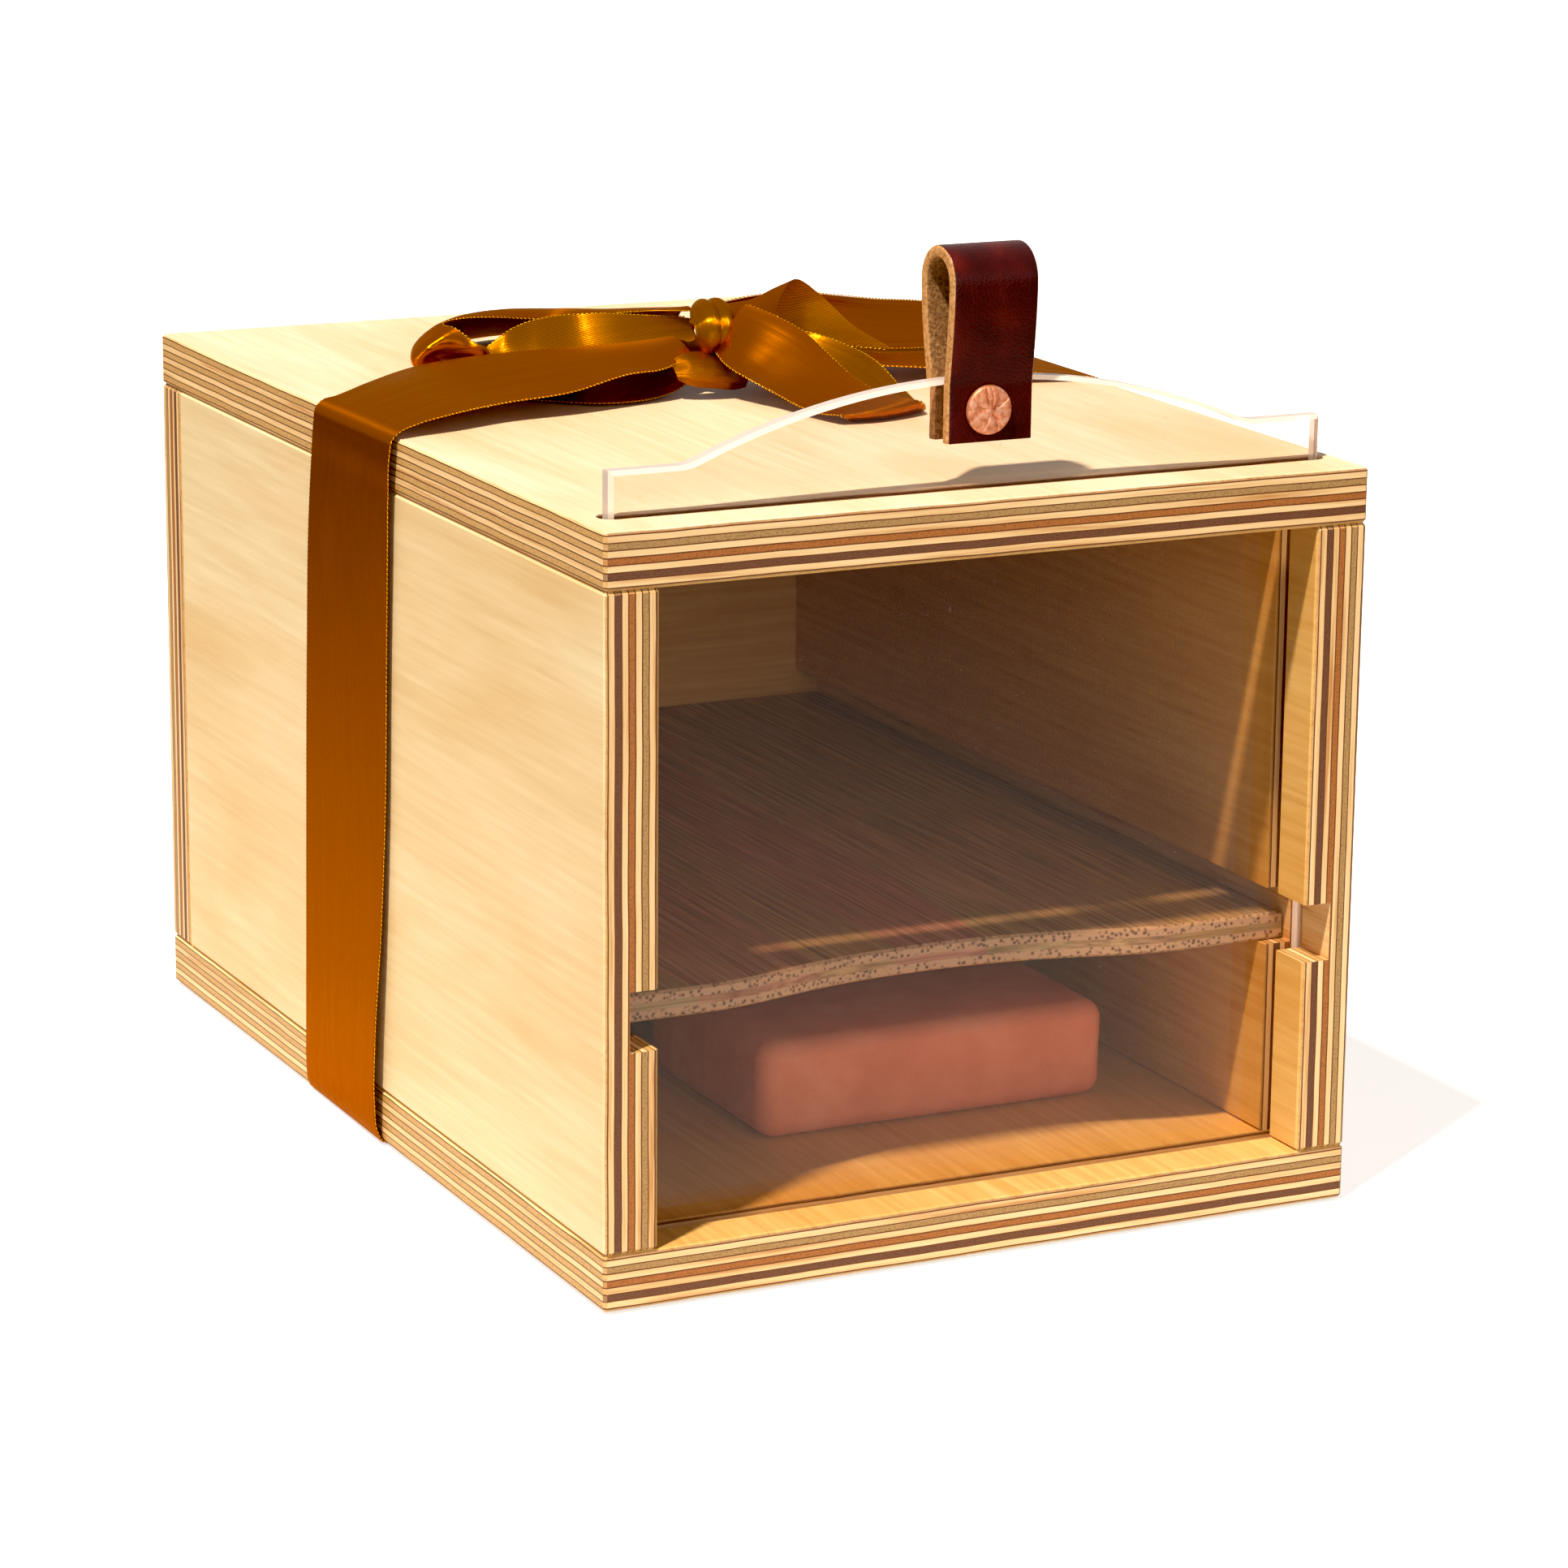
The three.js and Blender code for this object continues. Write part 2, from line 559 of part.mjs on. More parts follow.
// Stations of the ribbon on the lid: each row goes across the ribbon from one edge to the other.
// The runs lie flat over the lid's edges and are drawn in and up to the knot.
const RUN_LEFT = [
  [[-7, 16, 171], [-7.6, 13, 173.2], [-8, 9, 173.6], [-7.8, 5.5, 172.8], [-7, 3, 170.8]],
  [[-16, 23, 170], [-17, 18, 171.6], [-17, 11, 171.4], [-17, 4, 170.6], [-16, -2.6, 169.2]],
  [[-28, 31.4, 168.8], [-28, 24, 170.2], [-28, 13, 170], [-28, 3, 169.4], [-27, -6, 169]],
  [[-43, 35, 168], [-43, 26, 169.4], [-43, 14, 168.8], [-42.5, 1, 167.8], [-42, -10, 166.8]],
  [[-59, 35.5, 166.6], [-59, 25, 167.6], [-59, 12, 167.2], [-59, 0, 166.4], [-59, -12.6, 166]],
  [[-74, 29.3, 164.7], [-74, 18, 165.6], [-74, 6, 165.8], [-74, -6, 165.7], [-74, -18.3, 165.4]],
  [[-83, 25.8, 162.9], [-83, 14, 163.5], [-83, 2.5, 163.9], [-83, -9, 164.1], [-83, -20.6, 164.2]],
  [[-87, 26.5, 162.2], [-87, 14.5, 162.2], [-87, 2.5, 162.2], [-87, -9.5, 162.2], [-87, -21.5, 162.2]],
];
const RUN_RIGHT = [
  [[87, 34, 162.2], [87, 22, 162.2], [87, 10, 162.2], [87, -2, 162.2], [87, -14, 162.2]],
  [[83, 34, 163], [83, 22, 162.9], [83, 10, 162.7], [83, -1.5, 162.5], [83, -13.4, 162.4]],
  [[70, 33, 165.6], [70, 22, 165.4], [70, 11, 164.9], [70, 0, 164.4], [70, -11, 164]],
  [[52, 31, 166.8], [52, 21, 166.9], [52, 11.5, 166.6], [52, 2, 166], [52, -7, 165.4]],
  [[34, 26, 167.4], [34, 19, 168], [34, 12, 167.8], [34, 5.5, 167.2], [34, -1, 166.4]],
  [[18, 20, 168.6], [18, 16, 169.4], [18, 12, 169.4], [18, 8, 168.8], [18, 4, 167.6]],
  [[6, 16, 169.6], [6, 14, 170.6], [6, 12, 170.8], [6, 9.5, 170.2], [6, 7, 169]],
];
// Left loop: out along the rear, round its nose, through a half twist and back under the run.
const LOOP_LEFT = [
  [[1.5, 30.2, 174.6], [0.4, 27.5, 176.4], [-1.2, 24.5, 177.8], [-2.5, 21.1, 178.4], [-3.5, 18.2, 178.2]],
  [[9, 58, 164.5], [5, 53, 169.6], [0, 47, 173.4], [-4, 41, 175.4], [-7, 37, 175.4]],
  [[5, 84, 163.2], [-2, 76, 168], [-10, 67, 171.8], [-16.5, 59, 172.9], [-20, 55, 172]],
  [[-11, 91, 162.7], [-17, 81, 167.2], [-23.5, 70, 171.8], [-29, 60.5, 173.6], [-32, 55, 173.1]],
  [[-29, 86, 162.5], [-34, 76, 166.6], [-38.5, 66, 171], [-40.5, 57.5, 173.4], [-41.5, 53, 173.7]],
  [[-46, 63, 162.2], [-53.5, 56, 163.8], [-54.6, 51.5, 167.4], [-51, 50.6, 170.9], [-47.6, 49.9, 172.8]],
  [[-46, 48, 162.2], [-53.6, 46, 162.9], [-55.6, 45, 166.2], [-50, 44.3, 170.6], [-45.6, 46, 172.1]],
  [[-44, 41.5, 162.3], [-48.6, 42, 163.4], [-49.2, 42.5, 166.4],
    [-45.6, 42.7, 169.4], [-43.4, 43.1, 169.8]],
  [[-42.6, 43, 165.4], [-42.3, 41.7, 166.8], [-42, 40.3, 167.8],
    [-41.7, 38.8, 168.4], [-41.5, 37.2, 168.4]],
  [[-36.6, 42.4, 170.6], [-39.5, 37.7, 167.6], [-42.5, 32, 165], [-45, 26, 163.6], [-47, 20, 162.6]],
  [[-28, 43.6, 173.6], [-31, 35.4, 168.7], [-34, 25, 164.9], [-36.5, 14, 163.3], [-38, 2, 162.4]],
  [[-15.5, 41, 174.8], [-18, 31.4, 169.7], [-21, 19, 165.6], [-23.5, 7.5, 163.7], [-25, -3.5, 162.4]],
  [[-5.5, 30, 175.4], [-8, 23.4, 172], [-9.5, 15, 168.2], [-10.5, 8, 165.4], [-11, 2.5, 163.2]],
  [[-3.8, 25.8, 175.8], [-5.5, 20.5, 172.7], [-6.5, 13.9, 169.5], [-7.2, 8.3, 166.9], [-7.6, 3.7, 164.7]],
];
// Right loop: from the knot forward down to the lid, round and back up.
const LOOP_RIGHT = [
  [[-2.6, 0.6, 172.5], [-1, -0.9, 175], [1.5, -0.4, 178], [4, 0.8, 180.2], [6.2, 3, 181]],
  [[-2.8, -6, 169.9], [0, -7.5, 173], [4, -6.6, 176], [8, -4.6, 178.2], [11.4, -1.6, 179]],
  [[-0.4, -13.4, 167.5], [3, -14.2, 170.4], [7.4, -13.4, 173.2], [11.6, -11.6, 175.2], [15, -8.8, 176.2]],
  [[2.6, -21.4, 165.2], [6.2, -22, 167.4], [10.2, -21.6, 169.4], [14, -20.2, 171], [17.4, -17.8, 171.8]],
  [[4.2, -28.8, 163.7], [8, -29.2, 165.2], [12, -28.8, 166.6], [16, -27.6, 167.8], [19.4, -25.4, 168.2]],
  [[5.6, -36, 163.2], [9.8, -36.6, 163.9], [14.4, -36.2, 164.7],
    [18.8, -34.8, 165.4], [22.8, -32.6, 165.8]],
  [[7.6, -42.4, 163.5], [12.8, -43.2, 163.7], [18.2, -42.6, 163.9],
    [23.6, -41, 164.1], [28.6, -38.8, 164.4]],
  [[10, -41, 162.2], [15.2, -41.4, 162.2], [20.8, -40.4, 162.2], [26.2, -38.2, 162.2], [31, -35.4, 162.3]],
  [[14, -33.4, 162.2], [19, -32.8, 162.2], [24, -31, 162.3], [28.6, -28.6, 162.7], [32.4, -25.4, 163.6]],
  [[14, -22.4, 162.6], [18.6, -21.4, 163], [23.2, -19.4, 164.2], [27.6, -17, 166.4], [31, -13.8, 169]],
  [[11.5, -11.5, 164], [15.6, -10.6, 165.6], [20, -9, 167.6], [24.4, -7.2, 169.8], [28, -5.2, 171.6]],
  [[8.8, -3, 167], [11.6, -2, 168.8], [15, -0.8, 170.8], [18.6, 0.4, 172.6], [21.6, 2, 174]],
  [[6, 3.4, 170.6], [7, 3.8, 172], [8, 4.2, 173.2], [9, 4.6, 174.2], [10, 5, 175]],
];
// Short tail: it opens into a hood with a cut end. Long tail: behind it, out to the right.
const TAIL_SHORT = [
  [[7.2, 3.9, 176.2], [7.8, 5.7, 179.6], [9.2, 8.9, 181.1],
    [11.4, 11.8, 178.6], [13.5, 12.8, 175], [15.8, 12.3, 171.4]],
  [[8.6, 3.6, 176.2], [9.2, 5.6, 179.6], [11, 9, 181.3],
    [13.6, 12, 178.6], [16, 13, 174.8], [18.6, 12.4, 171]],
  [[12, 4.6, 177], [13.2, 6.6, 181], [16.6, 9.6, 183.2],
    [21, 12.4, 179.8], [25.6, 12.2, 174.8], [31, 10, 169.8]],
  [[14.8, 5.6, 178.2], [17.4, 7.4, 182.2], [22.6, 10, 185],
    [29.6, 11, 180.4], [36.4, 9, 173.8], [44.6, 5, 168.4]],
];
const TAIL_LONG = [
  [[6.4, 14.1, 173.3], [6.4, 14.7, 175], [6.4, 15.3, 176.7], [6.4, 15.9, 178.2], [6.4, 16.1, 179.7]],
  [[19, 14.6, 170.8], [19, 15.6, 173.2], [19, 16.4, 175.8], [19, 16.8, 178.4], [19, 16.8, 180.8]],
  [[31, 13, 169.1], [31.4, 14.8, 171.6], [31.8, 16.2, 174.4], [32, 16.8, 177.4], [32, 16.4, 180]],
  [[46, 9.6, 167.9], [46.4, 12.6, 169.6], [46.8, 15.4, 172], [47, 17.6, 174.8], [47, 19.2, 177.6]],
  [[62, 13, 166.9], [62.4, 16.4, 168.2], [62.8, 19.6, 170], [63, 22.6, 172.6], [63, 25, 175.2]],
  [[74, 18, 166.6], [74.2, 21, 167.4], [74.4, 24, 168.8], [74.6, 27, 170.6], [74.6, 29.4, 172.4]],
];

const STRETCHES = [
  { name: 'ribbon_lid_left', stations: RUN_LEFT, steps: 24, across: 6 },
  { name: 'ribbon_lid_right', stations: RUN_RIGHT, steps: 24, across: 6 },
  { name: 'bow_loop_left', stations: LOOP_LEFT, steps: 64, across: 8 },
  { name: 'bow_loop_right', stations: LOOP_RIGHT, steps: 48, across: 8 },
  { name: 'bow_tail_up', stations: TAIL_SHORT, steps: 10, across: 12 },
  { name: 'bow_tail_back', stations: TAIL_LONG, steps: 20, across: 6 },
];
for (const { name, stations, steps, across } of STRETCHES) {
  addPiece(name, ribbonStretch(stations, steps, across), 'satin');
}

// Knot, and the fold under it where the runs cross.
const KNOT = { width: 10, depth: 16, height: 12.5, round: 4.5, at: [0, 10, 176] };
const CROSSING = { width: 12, depth: 7, height: 7, round: 3, at: [-2, -1.5, 167] };
const FOLD_STEPS = 3;
for (const [name, fold] of [['bow_knot', KNOT], ['ribbon_crossing', CROSSING]]) {
  const pad = new RoundedBoxGeometry(fold.width, fold.depth, fold.height, FOLD_STEPS, fold.round);
  addPiece(name, closed(pad.translate(...fold.at)), 'satin');
}

export default box;
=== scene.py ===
"""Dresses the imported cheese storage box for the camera.

A plywood carcass with a clear lift-out front, a leather pull, a bamboo shelf, a clay brick and a
satin ribbon tied round it in a bow. Metres, +Z up, the clear front towards -Y.
"""

import logging
import math
from dataclasses import dataclass
from enum import Enum

import bpy
import numpy as np
from mathutils import Matrix, Vector


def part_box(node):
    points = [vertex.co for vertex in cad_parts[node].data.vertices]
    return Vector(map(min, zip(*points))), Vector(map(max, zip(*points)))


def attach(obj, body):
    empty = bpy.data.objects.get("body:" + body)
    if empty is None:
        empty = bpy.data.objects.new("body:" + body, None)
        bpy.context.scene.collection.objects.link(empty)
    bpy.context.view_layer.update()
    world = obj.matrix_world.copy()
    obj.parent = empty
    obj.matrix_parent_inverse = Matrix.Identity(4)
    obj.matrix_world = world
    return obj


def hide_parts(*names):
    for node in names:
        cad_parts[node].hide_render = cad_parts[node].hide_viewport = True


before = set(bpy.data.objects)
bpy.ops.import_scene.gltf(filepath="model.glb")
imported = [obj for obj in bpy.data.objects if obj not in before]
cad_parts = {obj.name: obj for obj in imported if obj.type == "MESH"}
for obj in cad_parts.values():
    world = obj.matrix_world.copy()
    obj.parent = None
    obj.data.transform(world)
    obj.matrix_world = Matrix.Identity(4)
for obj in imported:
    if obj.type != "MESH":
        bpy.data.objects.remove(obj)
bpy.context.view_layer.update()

LOG = logging.getLogger("cheese_box")
MM = 0.001
UV_NAME = "length_width"
# Length of one wave of the Wave texture at a scale of 1.
WAVE_LENGTH = 0.314


def linear(code: str) -> tuple[float, float, float, float]:
    """Turns an sRGB hex colour into linear light.

    Args:
        code: six hex digits with a leading hash.

    Returns:
        Red, green, blue and an alpha of 1.
    """
    channels = [int(code[i:i + 2], 16) / 255 for i in (1, 3, 5)]
    light = [c / 12.92 if c <= 0.04045 else ((c + 0.055) / 1.055) ** 2.4 for c in channels]
    return (light[0], light[1], light[2], 1.0)


def add_node(tree: bpy.types.NodeTree, kind: str, inputs: dict | None = None,
             stops: list | None = None, stepped: bool = False, **settings) -> bpy.types.Node:
    """Adds a node with its settings, its input values and its links.

    Args:
        tree: node tree to add to.
        kind: node class.
        inputs: input name or number to a value, or to the socket that feeds it.
        stops: positions of a colour ramp, each with a hex colour or a grey level.
        stepped: whether each colour of the ramp holds until the next.
        settings: attributes of the node itself.

    Returns:
        The new node.
    """
    node = tree.nodes.new(kind)
    for name, value in settings.items():
        setattr(node, name, value)
    for key, value in (inputs or {}).items():
        if isinstance(value, bpy.types.NodeSocket):
            tree.links.new(value, node.inputs[key])
        else:
            node.inputs[key].default_value = value
    for i, (position, tone) in enumerate(stops or []):
        elements = node.color_ramp.elements
        stop = elements[i] if i < len(elements) else elements.new(position)
        stop.position = position
        stop.color = linear(tone) if isinstance(tone, str) else (tone, tone, tone, 1.0)
    if stepped:
        node.color_ramp.interpolation = "CONSTANT"
    return node


@dataclass
class Coat:
    """A new material with one Principled shader on its output."""

    name: str

    def __post_init__(self) -> None:
        """Starts the material, its coordinates, its shader and its output."""
        self.material = bpy.data.materials.new(self.name)
        self.material.use_nodes = True
        self.tree = self.material.node_tree
        self.tree.nodes.clear()
        self.place = add_node(self.tree, "ShaderNodeTexCoord").outputs
        self.shader = add_node(self.tree, "ShaderNodeBsdfPrincipled")
        self.output = add_node(self.tree, "ShaderNodeOutputMaterial",
                               {"Surface": self.shader.outputs["BSDF"]})

    def finish(self, fed: dict, **fixed) -> bpy.types.Material:
        """Fills the shader's inputs.

        Args:
            fed: input name to the socket that feeds it.
            fixed: input name, with underscores for spaces, to its value.

        Returns:
            The material.
        """
        for key, socket in fed.items():
            self.tree.links.new(socket, self.shader.inputs[key])
        for key, value in fixed.items():
            self.shader.inputs[key.replace("_", " ")].default_value = value
        return self.material


class Axis(Enum):
    """Axes of the shared frame."""

    X = 0
    Y = 1
    Z = 2


def per_metre(size: float) -> float:
    """Scale of a pattern, in marks to the metre, from the size of one mark in millimetres."""
    return 1 / (size * MM)


def stretch(along: Axis, length: float, width: float) -> tuple[float, ...]:
    """Scales along X, Y and Z of marks drawn out along one axis, from their size in millimetres."""
    return tuple(per_metre(length if axis is along else width) for axis in Axis)


class Veneer(Enum):
    """Dark, middle and light streaks of the face veneers, with painted shade inside and painted sheen on the
    lid.
    """

    OUTSIDE = ("#e4c796", "#ecd2a4", "#f2dcb4")
    # Painted sheen: the lid's top is paler than the outer sides, as the glare on the sunlit top.
    LID = ("#eecfaa", "#f3d8b6", "#f7e0c4")
    # Painted shade: the inner faces are darker and more orange, as the box's interior lies in shade.
    PAINTED_SHADE_INSIDE = ("#cf9f58", "#dcae66", "#e6bd78")


@dataclass(frozen=True)
class BirchPlywood:
    """Nine-layer birch plywood, sanded and finished in oil: pale streaked faces and striped sawn edges.

    The sheet is solid all through: each ply has its place in the thickness and its own grain
    direction, so faces, sawn edges and router cuts all show what a real cut would. The odd plies
    come from different logs, so their end grain differs in colour.
    """

    name: str
    through: Axis
    low: float
    thick: float
    face_grain: Axis
    cross_grain: Axis
    veneers: tuple[Veneer, Veneer]
    logs: tuple[str, ...] = ("#c08c50", "#d8a866", "#74482e", "#d8a866", "#b36c32", "#d8a866",
                             "#b88e58", "#d8a866", "#8f5f38")
    # Shares of the sheet's thickness: a face ply, half a glue line, and the depth of clean veneer.
    face_ply: float = 0.068
    glue_line: float = 0.011
    skin: float = 0.03
    # How far the plies wander to either side along the sheet.
    wander: float = 0.25 * MM

    def material(self) -> bpy.types.Material:
        """Builds the layered wood on Object coordinates.

        Returns:
            The material.
        """
        coat = Coat(self.name)
        tree, place = coat.tree, coat.place
        at = add_node(tree, "ShaderNodeSeparateXYZ", {0: place["Object"]})
        facing = add_node(tree, "ShaderNodeSeparateXYZ", {0: place["Normal"]})
        waves = add_node(tree, "ShaderNodeTexNoise", {"Vector": place["Object"],
                                                      "Scale": per_metre(22.2), "Detail": 3.0})
        sway = add_node(tree, "ShaderNodeMath", {0: waves.outputs["Fac"], 1: 2 * self.wander,
                                                 2: -self.wander}, operation="MULTIPLY_ADD")
        inside = add_node(tree, "ShaderNodeMath", {0: at.outputs[self.through.value], 1: self.low},
                          operation="SUBTRACT")
        swayed = add_node(tree, "ShaderNodeMath", {0: inside.outputs[0], 1: sway.outputs[0]},
                          operation="ADD")
        depth = add_node(tree, "ShaderNodeMath", {0: swayed.outputs[0], 1: self.thick},
                         operation="DIVIDE").outputs[0]

        cores = len(self.logs) - 2
        core = (1 - 2 * self.face_ply) / cores
        starts = [0.0] + [self.face_ply + core * i for i in range(cores)] + [1 - self.face_ply]
        glue_stops = [(0.0, 0.0)]
        for start in starts[1:]:
            glue_stops += [(start - self.glue_line, 1.0), (start + self.glue_line, 0.0)]
        odd, tone, glue, skin = (
            add_node(tree, "ShaderNodeValToRGB", {"Fac": depth}, stops, stepped=True).outputs["Color"]
            for stops in ([(start, 1.0 - i % 2) for i, start in enumerate(starts)],
                          list(zip(starts, self.logs)), glue_stops,
                          [(0.0, 1.0), (self.skin, 0.0), (1 - self.skin, 1.0)]))

        # A ply shows end grain where the cut faces along its grain, and long streaks elsewhere.
        ends, streaks = [], []
        for axis in (self.cross_grain, self.face_grain):
            ends.append(add_node(tree, "ShaderNodeMath", {0: facing.outputs[axis.value]},
                                 operation="ABSOLUTE").outputs[0])
            drawn = add_node(tree, "ShaderNodeMapping", {"Vector": place["Object"],
                                                         "Scale": stretch(axis, 45.5, 1.61)})
            streaks.append(add_node(tree, "ShaderNodeTexNoise", {
                "Vector": drawn.outputs[0], "Scale": 1.0, "Detail": 4.0,
                "Roughness": 0.6}).outputs["Fac"])
        facing_grain = add_node(tree, "ShaderNodeMix", {0: odd, 2: ends[0], 3: ends[1]})
        end = add_node(tree, "ShaderNodeMapRange", {"Value": facing_grain.outputs[0],
                                                    "From Min": 0.45, "From Max": 0.8}).outputs[0]
        streak = add_node(tree, "ShaderNodeMix", {0: odd, 2: streaks[0], 3: streaks[1]}).outputs[0]
        # Pores are drawn a few times coarser than in birch, so that they show.
        pores = add_node(tree, "ShaderNodeTexNoise", {"Vector": place["Object"],
                                                      "Scale": per_metre(0.435), "Detail": 2.0})
        broad = add_node(tree, "ShaderNodeMapping", {
            "Vector": place["Object"], "Scale": stretch(self.face_grain, 143.0, 29.4)})
        figure = add_node(tree, "ShaderNodeTexNoise", {"Vector": broad.outputs[0], "Scale": 1.0,
                                                       "Detail": 3.0, "Distortion": 0.8})

        # Sawn edges: long fibres or darker open pores, with brown glue between the plies.
        long_wood = add_node(tree, "ShaderNodeValToRGB", {"Fac": streak},
                             [(0.3, "#c98a4c"), (0.46, "#eec389"), (0.7, "#f8d8a4")])
        end_wood = add_node(tree, "ShaderNodeValToRGB", {"Fac": pores.outputs["Fac"]},
                            [(0.3, 0.55), (0.5, 0.9), (0.7, 1.0)])
        end_toned = add_node(tree, "ShaderNodeMix", {0: 1.0, 6: end_wood.outputs["Color"], 7: tone},
                             data_type="RGBA", blend_type="MULTIPLY")
        ply = add_node(tree, "ShaderNodeMix", {0: end, 6: long_wood.outputs["Color"],
                                               7: end_toned.outputs[2]}, data_type="RGBA")
        glued = add_node(tree, "ShaderNodeMix", {0: glue, 6: ply.outputs[2], 7: linear("#6b3a16")},
                         data_type="RGBA")

        # Faces: pale streaks under a broad, faint flame.
        sides = [add_node(tree, "ShaderNodeValToRGB", {"Fac": streak},
                          list(zip((0.25, 0.5, 0.75), veneer.value))).outputs["Color"]
                 for veneer in self.veneers]
        # Each board's two faces take their own veneers, which carry painted shade inside and painted sheen
        # on the lid.
        upper_half = add_node(tree, "ShaderNodeMath", {0: depth, 1: 0.5}, operation="GREATER_THAN")
        face_wood = add_node(tree, "ShaderNodeMix", {0: upper_half.outputs[0], 6: sides[0],
                                                     7: sides[1]}, data_type="RGBA")
        flame = add_node(tree, "ShaderNodeValToRGB", {"Fac": figure.outputs["Fac"]},
                         [(0.3, "#f6e8d4"), (0.6, "#ffffff")])
        clean = add_node(tree, "ShaderNodeMix", {0: 1.0, 6: face_wood.outputs[2],
                                                 7: flame.outputs["Color"]},
                         data_type="RGBA", blend_type="MULTIPLY")
        wood = add_node(tree, "ShaderNodeMix", {0: skin, 6: glued.outputs[2], 7: clean.outputs[2]},
                        data_type="RGBA")
        rough = add_node(tree, "ShaderNodeMapRange", {"Value": streak, "To Min": 0.36,
                                                      "To Max": 0.56})
        relief = add_node(tree, "ShaderNodeMix", {0: end, 2: streak, 3: pores.outputs["Fac"]})
        bump = add_node(tree, "ShaderNodeBump", {"Height": relief.outputs[0], "Strength": 0.15,
                                                 "Distance": 0.08 * MM})
        return coat.finish({"Base Color": wood.outputs[2], "Roughness": rough.outputs[0],
                            "Normal": bump.outputs[0]}, IOR=1.45)


@dataclass(frozen=True)
class BeechDowel:
    """Turned beech: tan wood with short dark flecks along its length."""

    name: str = "turned_beech"

    def material(self) -> bpy.types.Material:
        """Builds the flecked wood.

        Returns:
            The material.
        """
        coat = Coat(self.name)
        drawn = add_node(coat.tree, "ShaderNodeMapping", {"Vector": coat.place["Object"],
                                                          "Scale": stretch(Axis.Z, 4.0, 0.667)})
        fleck = add_node(coat.tree, "ShaderNodeTexNoise", {"Vector": drawn.outputs[0],
                                                           "Scale": 1.0, "Detail": 2.0})
        wood = add_node(coat.tree, "ShaderNodeValToRGB", {"Fac": fleck.outputs["Fac"]},
                        [(0.35, "#a9743f"), (0.6, "#dcb485")])
        return coat.finish({"Base Color": wood.outputs["Color"]}, Roughness=0.6)


@dataclass(frozen=True)
class ClearAcrylic:
    """Cast acrylic sheet: clear faces that bend and mirror light, and pale matt sawn edges.

    It bends light less than the 1.49 of real acrylic, for mirror images as weak as in the photo.
    """

    name: str = "cast_acrylic"
    bend: float = 1.38

    def material(self) -> bpy.types.Material:
        """Builds refracting faces with a little dust and a faint veil that is partly painted reflection, and
        milky edges.

        Light on its way to other surfaces goes straight through, so that the inside stays lit, and
        the slanting key loses part of its strength, as it does in a real sheet.

        Returns:
            The material.
        """
        coat = Coat(self.name)
        tree, place = coat.tree, coat.place
        facing = add_node(tree, "ShaderNodeSeparateXYZ", {0: place["Normal"]})
        square_on = add_node(tree, "ShaderNodeMath", {0: facing.outputs["Y"]}, operation="ABSOLUTE")
        on_face = add_node(tree, "ShaderNodeMath", {0: square_on.outputs[0], 1: 0.9},
                           operation="GREATER_THAN")
        ray = add_node(tree, "ShaderNodeLightPath").outputs
        passing = add_node(tree, "ShaderNodeMath", {0: ray["Is Shadow Ray"], 1: ray["Is Diffuse Ray"]},
                           operation="MAXIMUM")
        glass = add_node(tree, "ShaderNodeBsdfGlass", {"Color": linear("#fcf9f7"), "Roughness": 0.0,
                                                       "IOR": self.bend})
        loss = add_node(tree, "ShaderNodeMix", {0: ray["Is Shadow Ray"], 6: linear("#fbf7f6"),
                                                7: linear("#ece2d6")}, data_type="RGBA")
        clear = add_node(tree, "ShaderNodeBsdfTransparent", {"Color": loss.outputs[2]})
        pane = add_node(tree, "ShaderNodeMixShader", {0: passing.outputs[0], 1: glass.outputs[0],
                                                      2: clear.outputs[0]})
        # A faint purple-grey diffuse veil over the whole face: partly dust haze, partly painted reflection
        # of the room.
        dust_haze_and_painted_reflection = add_node(tree, "ShaderNodeBsdfDiffuse", {"Color": linear("#c9b8bd")})
        # Dust is drawn about a millimetre across, far coarser than it is, so that it shows.
        dust = add_node(tree, "ShaderNodeTexNoise", {"Vector": place["Object"],
                                                     "Scale": per_metre(1.11), "Detail": 1.0})
        specks = add_node(tree, "ShaderNodeMapRange", {"Value": dust.outputs["Fac"],
                                                       "From Min": 0.76, "From Max": 0.8,
                                                       "To Min": 0.008, "To Max": 0.12})
        dusty = add_node(tree, "ShaderNodeMixShader", {0: specks.outputs[0], 1: pane.outputs[0],
                                                       2: dust_haze_and_painted_reflection.outputs[0]})
        both = add_node(tree, "ShaderNodeMixShader", {0: on_face.outputs[0],
                                                      1: coat.shader.outputs["BSDF"],
                                                      2: dusty.outputs[0]})
        tree.links.new(both.outputs[0], coat.output.inputs["Surface"])
        return coat.finish({}, Base_Color=linear("#f6e6dd"), Roughness=0.22, IOR=self.bend,
                           Transmission_Weight=0.35)


